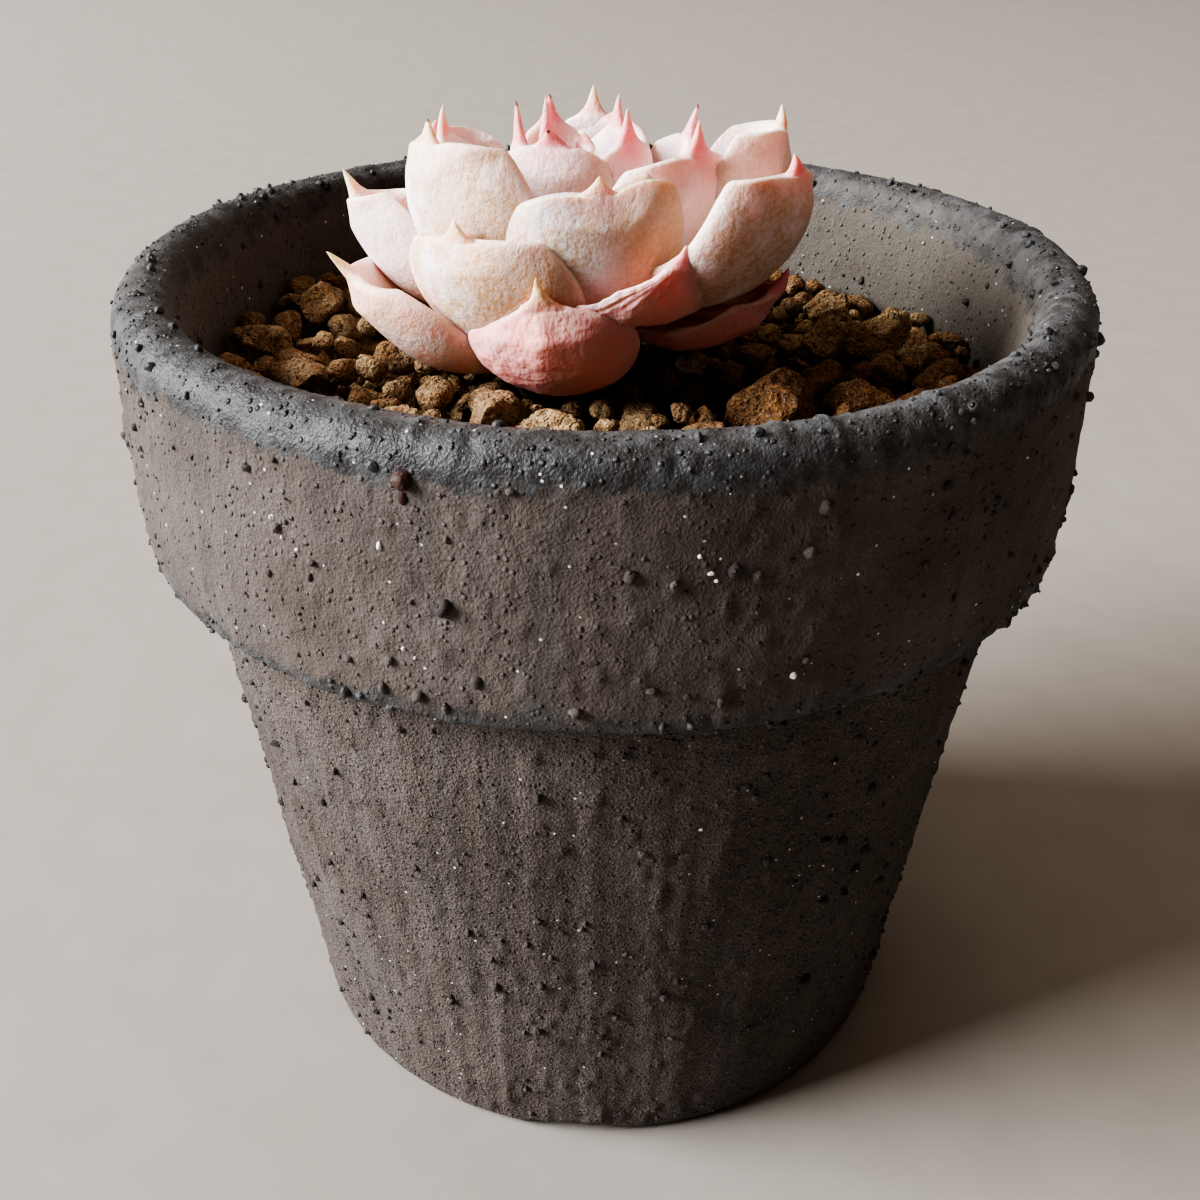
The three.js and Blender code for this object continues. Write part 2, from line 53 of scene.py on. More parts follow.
POT_HEIGHT = 83
RIM_RADIUS = 45
RIM_THICKNESS = 5.4
COLLAR_BOTTOM = 58.6
COLLAR_FOOT_RADIUS = 44.6
BODY_TOP_RADIUS = 40.6
FOOT_RADIUS = 32.9
WALL = 4.2
FLOOR_TOP = 6
UNDERSIDE_RADIUS = 27
UNDERSIDE_DEPTH = 1.5
DRAIN_RADIUS = 6
NOTCH_WIDTH = 10.5
NOTCH_HEIGHT = 1.5
NOTCH_AZIMUTHS = (-94.5, 25.5, 145.5)
POT_COLUMNS = 640
GROG_GRAINS = 3200

# Marks on the side that faces the viewer: kind, azimuth, height, size
MARKS = (
    ("rust", -108.5, 79.8, 0.75), ("rust", -108.3, 78.4, 0.4), ("lump", -105.2, 69.8, 0.75),
    ("pale", -124, 73.6, 0.32), ("dark", -123.3, 73.2, 0.4), ("pale", -122.5, 72.6, 0.26),
    ("pale", -120.8, 71.7, 0.22), ("pale", -111.4, 73.7, 0.36), ("pale", -81.5, 74.3, 0.26),
    ("pale", -80.7, 73.2, 0.32), ("pale", -80, 72.4, 0.22), ("pale", -71.4, 63, 0.42),
    ("pale", -109.7, 65.2, 0.28), ("pale", -108.8, 65.1, 0.2), ("lump", -97.7, 49, 0.5),
    ("dark", -117.2, 59.9, 0.45), ("pale", -77.7, 44.4, 0.25), ("dark", -102.5, 63.2, 0.45),
)

# Gravel

GRAVEL_TOP = 71.4
GRAVEL_REACH = 38.2
GRAVEL_DEPTH = 4.2
GRAVEL_PROUD = 1.6
UNDERLAYER_DEPTH = 4.0
UNDERLAYER_BOTTOM = 62
STONE_LIFT = 0.35
PACKING = 0.88
LEAF_GAP = 0.2
STEM_GAP = 2.6
TRIES_PER_GRAIN = 14
COARSE_RADIUS = 1.9

# Count, smallest and largest radius
GRAIN_SIZES = ((90, 2.5, 3.5), (180, 1.7, 2.5), (600, 1.0, 1.7))

# Place, radius and squash
STONES = (
    ((15.6, -11.5), 4.6, 0.8), ((23.5, -8.8), 3.4, 0.75), ((22.4, 5.5), 3.6, 0.8),
    ((28.2, 7.6), 3.4, 0.85), ((32.8, -1.4), 3.0, 0.8), ((24, 16.6), 3.0, 0.8),
    ((8.4, -18.6), 3.0, 0.75), ((-9.9, -15.5), 3.1, 0.85), ((-4.9, -18.8), 3.3, 0.85),
    ((-17, -19.5), 2.6, 0.75), ((-27.6, -9.4), 2.8, 0.75), ((-33.6, 1.6), 3.0, 0.75),
    ((-29.6, 12.4), 3.2, 0.75), ((-16.5, 24), 3.2, 0.8), ((-2, 29.5), 3.4, 0.8),
    ((12.5, 26.6), 3.0, 0.8),
)

# Plant

AXIS_X = -3
STEM_BOTTOM = 55
STEM_TOP = 83.3
SPIKE_RADIUS = 0.75
SPIKE_FLARE = 1.55
LEAF_ROWS = 52
SPIKE_ROWS = 12
LEAF_COLUMNS = 80

SHAPES = {
    "outer": dict(base=(2.6, 78), widest=0.65, square=2.2, narrow=0.35, cup=0.8, back=2.3, face=0.5),
    "inner": dict(base=(2, 83), widest=0.62, square=2.2, narrow=0.38, cup=0.9, back=1.6, face=0.4),
    "heart": dict(base=(1.1, 84.6), widest=0.6, square=2, narrow=0.4, cup=0.9, back=1.3, face=0.3),
    "withered": dict(base=(2.6, 77.5), widest=0.62, square=2, narrow=0.3, cup=0.5, back=0.9, face=0.4),
}

# node, shape, azimuth, crest (reach, height), slopes (leave, arrive, point), half width, spike, more
LEAVES = (
    ("leaf_old_2", "withered", -58, (18, 86.4), (0, 80, 88), 7.8, 1.8,
     dict(base=(2.6, 80.5), square=1.8, tilt=0.6)),
    ("leaf_old_3", "withered", -24, (20.2, 82.2), (-20, 58, 75), 6.4, 2.2,
     dict(base=(2.6, 78.2), cup=0.8)),
    ("leaf_heart_1", "heart", 175, (2.4, 93.4), (50, 90, 90), 2.8, 3.6, {}),
    ("leaf_heart_2", "heart", 28, (4.6, 93.6), (40, 92, 84), 4.8, 3.2, {}),
    ("leaf_heart_3", "heart", -44, (6.8, 93.8), (10, 92, 92), 5.6, 3.2, dict(back=1.5)),
    ("leaf_heart_4", "heart", 112, (5.8, 93.2), (20, 85, 92), 4.4, 3, {}),
    ("leaf_heart_5", "heart", -158, (5, 92.8), (20, 85, 86), 4.2, 4.3, {}),
    ("leaf_heart_6", "heart", -8, (5.6, 92.4), (15, 85, 95), 3.6, 1.5, {}),
    ("leaf_heart_7", "heart", 20, (1.2, 92.8), (80, 92, 100), 1.9, 1, dict(base=(0.3, 85.5), back=0.9)),
    ("leaf_heart_8", "heart", -120, (1, 92.2), (80, 92, 100), 1.6, 0.9, dict(base=(0.3, 85.5), back=0.8)),
    ("leaf_inner_1", "inner", -103, (7.6, 94.2), (5, 88, 15), 5.8, 2.2, dict(back=1.8, ears=0.8)),
    ("leaf_inner_2", "inner", 62, (8.4, 93.4), (15, 85, 95), 5.4, 0.9, {}),
    ("leaf_inner_3", "inner", 78, (8.6, 93.4), (10, 85, 88), 5, 3, dict(back=1.8)),
    ("leaf_inner_4", "inner", 8, (10.6, 92.9), (15, 75, 75), 5.2, 3.4, dict(tilt=1)),
    ("leaf_inner_5", "inner", 170, (12, 92.8), (5, 80, 100), 5.6, 3, dict(back=1.8)),
    ("leaf_inner_6", "inner", -38, (13.6, 94), (-10, 85, 90), 8.6, 2.8,
     dict(back=2, square=2.5, tilt=-1.2)),
    ("leaf_inner_7", "inner", 112, (12, 89.8), (-5, 80, 85), 6.4, 1.6, dict(back=2, square=2.4)),
    ("leaf_inner_8", "inner", 47, (14.2, 89.4), (-5, 80, 85), 6.6, 1.6, dict(back=2, square=2.4)),
    ("leaf_middle_1", "outer", -4, (18.6, 94.7), (0, 82, 98), 8.8, 2,
     dict(base=(2.6, 81.8), square=2.5, cup=1.4, back=2, ears=1.3, tilt=-1)),
    ("leaf_middle_2", "outer", 148, (15.5, 92.2), (0, 80, 85), 7.4, 0.9,
     dict(base=(2.6, 81), square=2.6, cup=0.9, back=1.9)),
    ("leaf_middle_3", "outer", -149, (14.2, 94.5), (-12, 88, 90), 10.9, 2.1,
     dict(base=(2.6, 81), square=2.2, cup=1, back=2.2, ears=1.1, tilt=1.9)),
    ("leaf_middle_4", "outer", -27, (21.4, 92.8), (-5, 84, 112), 10.2, 1.6,
     dict(base=(2.6, 81.6), square=2.9, ears=0.4, tilt=-2.2)),
    ("leaf_middle_5", "outer", -80, (13.8, 91.8), (-28, 85, 90), 8.3, 1.6,
     dict(base=(2.6, 80), square=2.8, cup=0.6, ears=0.8, tilt=0.7,
          ripples=((0.72, 0.27, 2.9), (0.28, 0.2, -0.7), (-0.75, 0.35, 1.3)))),
    ("leaf_middle_6", "outer", 80, (16.4, 88.2), (-10, 75, 80), 7.8, 2.2, dict(base=(2.6, 80), square=2.4)),
    ("leaf_outer_1", "outer", -126, (16.3, 87.8), (-28, 80, 80), 10.1, 1.9,
     dict(base=(2.6, 79), square=2.1, ears=1.2, tilt=1.2)),
    ("leaf_outer_2", "outer", 176, (20.2, 87.8), (-12, 64, 62), 8.6, 2.6,
     dict(base=(2.6, 80), cup=1.5, ears=0.6, tilt=1.5)),
    ("leaf_outer_3", "outer", 107, (20, 84), (-20, 55, 60), 8, 3, {}),
    ("leaf_outer_4", "outer", 40, (20, 84.6), (-20, 60, 70), 8, 3, {}),
    ("leaf_outer_5", "outer", -161, (21, 82.8), (-32, 48, 48), 8, 3.1, dict(base=(2.6, 77), back=2.6)),
    ("leaf_old_1", "outer", -98, (16.6, 83.1), (-37, 66, 80), 8.1, 3,
     dict(base=(2.6, 76.2), square=1.9, cup=0.65, back=2.6, ears=-0.6, tilt=1, lean=-8)),
)

# Stage, in metres
FLOOR_CENTRE = (0, -0.9)
FLOOR_HALF_SIZE = (3.0, 2.1)
SWEEP_RADIUS = 0.5
SWEEP_STEPS = 16
WALL_TOP = 1.6
FLOOR_COLUMNS = 128

# Camera, solved from the pot's outline in the photograph

CAMERA_PLACE = (-0.72, -133.8, 123.6)
CAMERA_PITCH_DOWN = 30.48
CAMERA_ROLL = -0.34
LENS_PER_FRAME = 1.2027


# Noise and small helpers

def unit(vectors):
    return vectors / (np.linalg.norm(vectors, axis=-1, keepdims=True) + 1e-12)


class Noise:
    """Smooth gradient noise of about -1 to 1 at points in millimetres."""

    def __init__(self, seed):
        draw = np.random.default_rng(seed)
        self.order = draw.permutation(256)
        self.slopes = unit(draw.normal(size=(256, 3)))

    def __call__(self, points, cell):
        place = np.asarray(points, float) / cell
        corner = np.floor(place).astype(int)
        offset = place - corner
        fade = offset * offset * offset * (offset * (offset * 6 - 15) + 10)
        total = np.zeros(len(place))
        for dx in (0, 1):
            for dy in (0, 1):
                for dz in (0, 1):
                    step = np.array((dx, dy, dz))
                    cx, cy, cz = ((corner + step) % 256).T
                    slope = self.slopes[self.order[(self.order[(self.order[cx] + cy) % 256] + cz) % 256]]
                    weight = np.prod(np.where(step, fade, 1 - fade), axis=1)
                    total += weight * np.einsum("ij,ij->i", slope, offset - step)
        return total * 1.6


NOISES = [Noise(seed) for seed in range(8)]


def layered(points, cell, octaves, which=0):
    total = np.zeros(len(points))
    for level in range(octaves):
        total += NOISES[(which + level) % len(NOISES)](points, cell / 2**level) / 2**level
    return total


def smooth(low, high, value):
    share = np.clip((value - low) / (high - low), 0, 1)
    return share * share * (3 - 2 * share)


def make_mesh(name, points, faces, masks, replaces, material):
    """A smooth mesh piece in metres that rides on the part. masks are numbers for each vertex."""
    mesh = bpy.data.meshes.new(name)
    mesh.vertices.add(len(points))
    mesh.vertices.foreach_set("co", (np.asarray(points, float) * MM).ravel())
    faces = np.asarray(faces, int)
    sides = faces.shape[1]
    mesh.loops.add(faces.size)
    mesh.loops.foreach_set("vertex_index", faces.ravel())
    mesh.polygons.add(len(faces))
    mesh.polygons.foreach_set("loop_start", np.arange(0, faces.size, sides))
    mesh.polygons.foreach_set("use_smooth", np.ones(len(faces), bool))
    mesh.update(calc_edges=True)
    mesh.validate()
    for mask, values in masks.items():
        layer = mesh.attributes.new(mask, "FLOAT", "POINT")
        layer.data.foreach_set("value", np.asarray(values, np.float32))
    piece = bpy.data.objects.new(name, mesh)
    bpy.context.scene.collection.objects.link(piece)
    mesh.materials.append(material)
    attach(piece, "root")
    if replaces:
        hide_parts(*replaces)
    return piece


def grid_faces(rows, columns, wrap):
    """Quads of a rows x columns grid whose rows close on themselves, and on each other if wrap."""
    row = np.arange(rows if wrap else rows - 1)
    column = np.arange(columns)
    a, b = np.meshgrid(row, column, indexing="ij")
    below = a.ravel()
    above = (below + 1) % rows
    here = b.ravel()
    after = (here + 1) % columns
    return np.stack([below * columns + here, below * columns + after,
                     above * columns + after, above * columns + here], axis=1)


def capped(quads, count, columns):
    """A tube's quads as triangles, closed at both ends on the points numbered count and count + 1."""
    ring = np.arange(columns)
    after = np.roll(ring, -1)
    last = count - columns
    return np.concatenate([
        quads[:, [0, 1, 2]], quads[:, [0, 2, 3]],
        np.stack([after, ring, np.full(columns, count)], axis=1),
        np.stack([ring + last, after + last, np.full(columns, count + 1)], axis=1),
    ])


def vertex_normals(points, faces):
    triangles = points[faces]
    normal = np.cross(triangles[:, 2] - triangles[:, 0], triangles[:, -1] - triangles[:, 1])
    total = np.zeros_like(points)
    for corner in range(faces.shape[1]):
        np.add.at(total, faces[:, corner], normal)
    return unit(total)


# Materials

class Nodes:
    """Short calls for building one node material in object coordinates, scaled to millimetres."""

    def __init__(self, name):
        self.material = bpy.data.materials.new(name)
        self.material.use_nodes = True
        self.tree = self.material.node_tree
        self.shader = self.tree.nodes["Principled BSDF"]
        self.coords = self.new("ShaderNodeTexCoord").outputs["Object"]
        self.shader.inputs["Specular IOR Level"].default_value = 0.4

    def new(self, kind, **settings):
        node = self.tree.nodes.new(kind)
        for key, value in settings.items():
            setattr(node, key, value)
        return node

    def feed(self, socket, value):
        if isinstance(value, bpy.types.NodeSocket):
            self.tree.links.new(value, socket)
        else:
            socket.default_value = value

    def scaled(self, stretch=(1, 1, 1)):
        node = self.new("ShaderNodeMapping")
        self.feed(node.inputs["Vector"], self.coords)
        node.inputs["Scale"].default_value = [1 / MM * s for s in stretch]
        return node.outputs["Vector"]

    def noise(self, cell, detail, rough, stretch=(1, 1, 1)):
        node = self.new("ShaderNodeTexNoise")
        self.feed(node.inputs["Vector"], self.scaled(stretch))
        node.inputs["Scale"].default_value = 1 / cell
        node.inputs["Detail"].default_value = detail
        node.inputs["Roughness"].default_value = rough
        return node.outputs["Fac"]

    def cells(self, size):
        """Distance from, and random colour of, the nearest of many spots size millimetres apart."""
        node = self.new("ShaderNodeTexVoronoi")
        self.feed(node.inputs["Vector"], self.scaled())
        node.inputs["Scale"].default_value = 1 / size
        return node.outputs["Distance"], node.outputs["Color"]

    def granules(self, size, spread, share):
        """Raised grains about size millimetres apart, each of its own height, from 0 to 1."""
        distance, colour = self.cells(size)
        grain = self.span(distance, spread, spread * 0.3)
        chosen = self.span(colour, 1 - share, 1.05 - share * 0.4)
        return self.math("MULTIPLY", grain, chosen)

    def mask(self, name):
        return self.new("ShaderNodeAttribute", attribute_name=name).outputs["Fac"]

    def span(self, value, low, high, to_low=0.0, to_high=1.0):
        """value taken smoothly from low..high to to_low..to_high."""
        node = self.new("ShaderNodeMapRange", interpolation_type="SMOOTHSTEP")
        for socket, number in zip(("From Min", "From Max", "To Min", "To Max"), (low, high, to_low, to_high)):
            node.inputs[socket].default_value = number
        self.feed(node.inputs["Value"], value)
        return node.outputs["Result"]

    def math(self, operation, first, second):
        node = self.new("ShaderNodeMath", operation=operation)
        self.feed(node.inputs[0], first)
        self.feed(node.inputs[1], second)
        return node.outputs[0]

    def mix(self, share, first, second):
        node = self.new("ShaderNodeMix", data_type="RGBA")
        self.feed(node.inputs[0], share)
        for socket, colour in zip((node.inputs[6], node.inputs[7]), (first, second)):
            self.feed(socket, colour if isinstance(colour, bpy.types.NodeSocket) else (*colour, 1))
        return node.outputs[2]

    def height(self):
        node = self.new("ShaderNodeSeparateXYZ")
        self.feed(node.inputs[0], self.scaled())
        return node.outputs["Z"]

    def bump(self, *layers):
        """layers are (height socket, depth in millimetres), finest first."""
        normal = None
        for value, depth in layers:
            node = self.new("ShaderNodeBump")
            node.inputs["Distance"].default_value = depth * MM
            self.feed(node.inputs["Height"], value)
            if normal is not None:
                self.feed(node.inputs["Normal"], normal)
            normal = node.outputs["Normal"]
        self.feed(self.shader.inputs["Normal"], normal)

    def set(self, **sockets):
        for key, value in sockets.items():
            self.feed(self.shader.inputs[key.replace("_", " ")], value)


def stoneware_material():
    """Dark rough clay: smoky bands on the rim and the collar's edge, specks of grog and mica."""
    n = Nodes("stoneware")
    height = n.height()
    inside = n.mask("inside")
    lump = n.mask("lump")
    patches = n.noise(13, 2, 0.6)
    streaks = n.noise(2.4, 2, 0.6, stretch=(1, 1, 0.05))
    grain = n.noise(0.24, 2, 0.6)
    coarse = n.noise(2.3, 3, 0.7)
    small_grains = n.granules(0.75, 0.36, 0.6)
    ragged = n.math("ADD", height, n.math("MULTIPLY", n.noise(4, 3, 0.8), 6))
    rim_band = n.span(ragged, 81.9, 83.0)
    edge_low = n.span(ragged, COLLAR_BOTTOM + 5.6, COLLAR_BOTTOM + 4.2)
    edge_high = n.span(height, COLLAR_BOTTOM - 1, COLLAR_BOTTOM - 0.3)
    edge_band = n.math("MULTIPLY", edge_low, edge_high)
    clay = n.mix(n.span(patches, 0.3, 0.7), (0.092, 0.072, 0.060), (0.140, 0.117, 0.104))
    clay = n.mix(n.span(streaks, 0.42, 0.68, 0, 0.5), clay, (0.078, 0.068, 0.064))
    clay = n.mix(n.span(height, COLLAR_BOTTOM, 34, 0, 0.3), clay, (0.058, 0.046, 0.040))
    clay = n.mix(n.math("MULTIPLY", inside, 0.75), clay, (0.118, 0.104, 0.087))
    sandy = n.span(height, COLLAR_BOTTOM + 1, COLLAR_BOTTOM - 1, 0.4, 1)
    # Painted shade in the dents of the fine grain
    clay = n.mix(n.math("MULTIPLY", n.span(grain, 0.46, 0.34, 0, 0.8), sandy), clay, (0.030, 0.022, 0.018))
    clay = n.mix(n.math("MULTIPLY", n.span(grain, 0.58, 0.70, 0, 0.6), sandy), clay, (0.30, 0.26, 0.23))
    smoke = n.math("MAXIMUM", n.math("MULTIPLY", rim_band, 0.8), n.math("MULTIPLY", edge_band, 0.72))
    smoke = n.math("SUBTRACT", smoke, n.math("MULTIPLY", inside, 0.25))
    smoke_tone = n.mix(n.span(coarse, 0.36, 0.66), (0.013, 0.015, 0.018), (0.082, 0.090, 0.098))
    clay = n.mix(smoke, clay, smoke_tone)
    clay = n.mix(n.math("MULTIPLY", lump, 0.7), clay, (0.028, 0.024, 0.023))
    clay = n.mix(n.mask("rust"), clay, (0.062, 0.027, 0.017))
    mica = n.span(n.cells(1.3)[0], 0.11, 0.07)
    mica = n.math("MULTIPLY", mica, n.span(n.noise(3.1, 2, 0.5), 0.53, 0.58))
    mica = n.math("MAXIMUM", mica, n.mask("pale"))
    clay = n.mix(mica, clay, (0.80, 0.78, 0.74))
    rough = n.span(smoke, 0, 1, 0.84, 0.46)
    n.set(Base_Color=clay, Roughness=n.math("SUBTRACT", rough, n.math("MULTIPLY", mica, 0.3)))
    n.set(Diffuse_Roughness=0.6)
    n.bump((n.math("MULTIPLY", grain, sandy), 0.34), (small_grains, 0.32), (coarse, 0.3))
    return n.material


def leaf_material(name, bloom, veil, mottle, glow, wrinkled=0.0, depth=0.45):
    """bloom is the powdery coat, veil its greyer streaks, mottle the bare speckles, glow the blush.

    depth is how far light goes into the flesh, and wrinkled makes the bump of the skin coarser.
    """
    n = Nodes(name)
    tone = n.mask("tone")
    ripe = n.mask("ripe")
    bared_and_painted_shade = n.mask("bared_and_painted_shade")
    cream = n.mask("cream")
    keel = n.mask("keel")
    tip = n.mask("tip")
    streaks = n.noise(0.8, 3, 0.6, stretch=(1, 1, 0.4))
    patches = n.noise(4.2, 3, 0.6)
    specks = n.noise(0.5, 3, 0.75)
    powder = n.noise(0.3, 1, 0.75)
    skin = n.mix(n.span(streaks, 0.35, 0.68), bloom, veil)
    skin = n.mix(n.span(powder, 0.52, 0.36, 0, 0.45), skin, (0.66, 0.54, 0.52))
    bare = n.math("MULTIPLY", n.span(patches, 0.34, 0.60), n.span(specks, 0.38, 0.62, 0.3, 0.85))
    skin = n.mix(n.math("MULTIPLY", bare, tone), skin, mottle)
    # Bare tan flesh on one side of a leaf, which is also painted shade on that side
    skin = n.mix(n.math("MULTIPLY", bared_and_painted_shade, n.span(specks, 0.3, 0.6, 0.7, 1.0)), skin, (0.60, 0.36, 0.19))
    skin = n.mix(n.math("MULTIPLY", n.mask("rim"), 0.35), skin, glow)
    skin = n.mix(n.math("MULTIPLY", ripe, n.span(patches, 0.36, 0.56, 0.25, 1)), skin, glow)
    skin = n.mix(n.math("MULTIPLY", n.mask("edge"), 0.5), skin, (0.93, 0.74, 0.68))
    thorn = n.mix(cream, (0.84, 0.27, 0.32), (0.86, 0.48, 0.34))
    spike = n.mix(n.math("MULTIPLY", cream, n.span(tip, 0.1, 0.7)), thorn, (0.92, 0.74, 0.42))
    skin = n.mix(n.math("MULTIPLY", keel, 0.8), skin, thorn)
    skin = n.mix(n.math("MULTIPLY", n.span(tip, 0.0, 0.25), 0.8), skin, spike)
    skin = n.mix(n.math("MULTIPLY", n.mask("dot"), n.span(tip, 0.80, 0.93)), skin, (0.055, 0.022, 0.018))
    n.set(Base_Color=skin, Roughness=n.span(specks, 0.3, 0.7, 0.50, 0.66))
    n.shader.inputs["Subsurface Weight"].default_value = depth
    n.shader.inputs["Subsurface Radius"].default_value = (1.0, 0.45, 0.25)
    n.shader.inputs["Subsurface Scale"].default_value = 2.4 * MM
    n.bump((specks, 0.16 - wrinkled * 0.08), (streaks, 0.12 + wrinkled * 0.06),
           (n.noise(1.6, 2, 0.6), 0.15 + wrinkled * 0.25))
    return n.material


def gravel_material():
    """Porous, dusty tan stones whose pits are painted dark as shade."""
    n = Nodes("gravel")
    # The tone mask carries each stone's own tone along with painted light and shade
    tone = n.mask("tone")
    grain = n.noise(0.4, 3, 0.75)
    patches = n.noise(1.7, 3, 0.7)
    pits = n.span(n.cells(0.75)[0], 0.34, 0.12)
    pits = n.math("MULTIPLY", pits, n.span(n.noise(1.1, 2, 0.5), 0.42, 0.58))
    dust = n.mix(tone, (0.18, 0.086, 0.036), (0.70, 0.51, 0.29))
    dust = n.mix(n.span(patches, 0.38, 0.66, 0, 0.75), dust, (0.30, 0.140, 0.045))
    dust = n.mix(n.span(grain, 0.44, 0.32, 0, 0.75), dust, (0.13, 0.062, 0.024))
    dust = n.mix(n.span(grain, 0.58, 0.72, 0, 0.55), dust, (0.80, 0.69, 0.50))
    # Painted shade in the pits
    dust = n.mix(n.math("MULTIPLY", pits, 0.8), dust, (0.09, 0.045, 0.02))
    n.set(Base_Color=dust, Roughness=0.93)
    n.bump((grain, 0.9), (n.math("SUBTRACT", 1.0, pits), 0.45), (patches, 2.2))
    return n.material


def plain_material(name, dark, light, cell, roughness, depth):
    n = Nodes(name)
    speckle = n.noise(cell, 4, 0.65)
    n.set(Base_Color=n.mix(n.span(speckle, 0.35, 0.65), dark, light), Roughness=roughness)
    n.bump((speckle, depth))
    return n.material


# Pot

def inner_radius(z):
    body_wall = FOOT_RADIUS + (BODY_TOP_RADIUS - FOOT_RADIUS) * z / COLLAR_BOTTOM - WALL
    mouth = RIM_RADIUS - RIM_THICKNESS - 0.11 * (POT_HEIGHT - z)
    return max(mouth, body_wall * 0.995) if z > COLLAR_BOTTOM else body_wall


def arc(centre, radius, start, end, steps):
    angles = np.radians(np.linspace(start, end, steps))
    return [(centre[0] + radius * math.cos(a), centre[1] + radius * math.sin(a)) for a in angles]


def resampled(path, step):
    path = np.array(path, float)
    lengths = np.concatenate([[0], np.cumsum(np.linalg.norm(np.diff(path, axis=0), axis=1))])
    places = np.linspace(0, lengths[-1], max(int(round(lengths[-1] / step)), 1) + 1)
    return np.stack([np.interp(places, lengths, path[:, k]) for k in (0, 1)], axis=1)[:-1]


def pot_profile():
    """The pot's section as (radius, height), closed on itself, finer where it shows."""
    rim = RIM_THICKNESS / 2
    foot = arc((FOOT_RADIUS - 1.2, 1.2), 1.2, -90, 0, 6)
    collar = arc((COLLAR_FOOT_RADIUS - 1.2, COLLAR_BOTTOM + 1.2), 1.2, -90, 0, 7)
    brim = arc((RIM_RADIUS - rim, POT_HEIGHT - rim), rim, 0, 180, 22)
    shown_inside = [(inner_radius(z), z) for z in np.linspace(POT_HEIGHT - rim - 2, 66, 6)]
    hidden_inside = [(inner_radius(z), z) for z in (66, COLLAR_BOTTOM, 30, FLOOR_TOP + 4)]
    corner = arc((inner_radius(FLOOR_TOP) - 4, FLOOR_TOP + 4), 4, 0, -90, 6)
    stretches = (
        ([(DRAIN_RADIUS, FLOOR_TOP), (DRAIN_RADIUS, UNDERSIDE_DEPTH)], 1.5),
        ([(DRAIN_RADIUS, UNDERSIDE_DEPTH), (UNDERSIDE_RADIUS, UNDERSIDE_DEPTH)], 2.4),
        ([(UNDERSIDE_RADIUS, UNDERSIDE_DEPTH), (UNDERSIDE_RADIUS + 1.4, 0), foot[0]], 0.9),
        (foot + [(BODY_TOP_RADIUS, COLLAR_BOTTOM - 0.4)], 0.72),
        ([(BODY_TOP_RADIUS, COLLAR_BOTTOM - 0.4), (BODY_TOP_RADIUS + 0.5, COLLAR_BOTTOM)] + collar, 0.55),
        ([collar[-1], (45.1, 66), brim[0]], 0.72),
        (brim, 0.5),
        ([brim[-1]] + shown_inside, 0.9),
        (hidden_inside + corner + [(DRAIN_RADIUS, FLOOR_TOP)], 4),
    )
    return np.concatenate([resampled(path, step) for path, step in stretches])


def pot_relief(points, inside):
    """How far each point of the pot's skin stands out, in millimetres."""
    azimuth = np.arctan2(points[:, 1], points[:, 0])
    height = points[:, 2]
    around = np.stack([np.cos(azimuth) * 42, np.sin(azimuth) * 42, height], axis=1)
    around[:, 2] += np.where(inside > 0.5, 31, 0)
    low_body = smooth(COLLAR_BOTTOM + 1, COLLAR_BOTTOM - 3, height)
    rim = smooth(76.5, 80.5, height + 2 * NOISES[6](around, 5))
    edge = smooth(COLLAR_BOTTOM + 4, COLLAR_BOTTOM + 1, height) * (1 - low_body)
    crowding = 0.85 + 0.45 * NOISES[7](around, 13) + 0.25 * np.maximum(rim, edge)
    crowding = crowding * (1 - 0.62 * inside * (1 - rim))
    wobble = 0.38 * NOISES[0](around, 38) + 0.2 * NOISES[1](around, 16) + 0.10 * NOISES[5](around, 6)
    scrapes = NOISES[2](around * (1, 1, 0.07), 3.4) + 0.6 * NOISES[3](around * (1, 1, 0.05), 1.9)
    rings = NOISES[4](around * (0.1, 0.1, 1), 2.1)
    lumps = smooth(0.3, 0.75, NOISES[3](around, 1.25)) * (0.3 - 0.1 * rim)
    lumps += smooth(0.4, 0.85, NOISES[4](around, 2.3)) * 0.07
    grit = 0.04 * layered(around, 1.1, 2, 5)
    pits = -0.25 * smooth(0.5, 0.8, NOISES[5](around, 1.7))
    return (wobble + 0.17 * scrapes * low_body + 0.09 * rings * (1 - 0.5 * low_body)
            + crowding * (lumps + grit + pits))


def pot_grid():
    """The pot's whole skin as rows of points round the axis, closed on itself."""
    profile = pot_profile()
    rows = len(profile)
    angles = np.linspace(0, 2 * math.pi, POT_COLUMNS, endpoint=False)
    radius = np.repeat(profile[:, 0], POT_COLUMNS)
    height = np.repeat(profile[:, 1], POT_COLUMNS)
    turn = np.tile(angles, rows)
    points = np.stack([radius * np.cos(turn), radius * np.sin(turn), height], axis=1)
    faces = grid_faces(rows, POT_COLUMNS, True)
    normals = vertex_normals(points, faces)
    inside = smooth(RIM_RADIUS - 3.4, RIM_RADIUS - 5, radius) * (height > COLLAR_BOTTOM + 2)
    points = points + normals * (pot_relief(points, inside) * smooth(0, 2.5, height))[:, None]
    # The rim was pressed a little lower at the back right
    azimuth = np.degrees(np.arctan2(points[:, 1], points[:, 0]))
    sag = np.exp(-(((azimuth - 62) / 26) ** 2)) * smooth(70, POT_HEIGHT, points[:, 2])
    points[:, 2] -= 0.7 * sag
    for notch in NOTCH_AZIMUTHS:
        across = np.radians((azimuth - notch + 180) % 360 - 180) * radius
        arch = NOTCH_HEIGHT * np.sqrt(np.clip(1 - (across / (NOTCH_WIDTH / 2)) ** 2, 0, 1))
        in_ring = (radius > UNDERSIDE_RADIUS - 0.2) & (height < 3)
        points[:, 2] = np.where(in_ring, np.maximum(points[:, 2], arch), points[:, 2])
    return profile, points, faces, inside


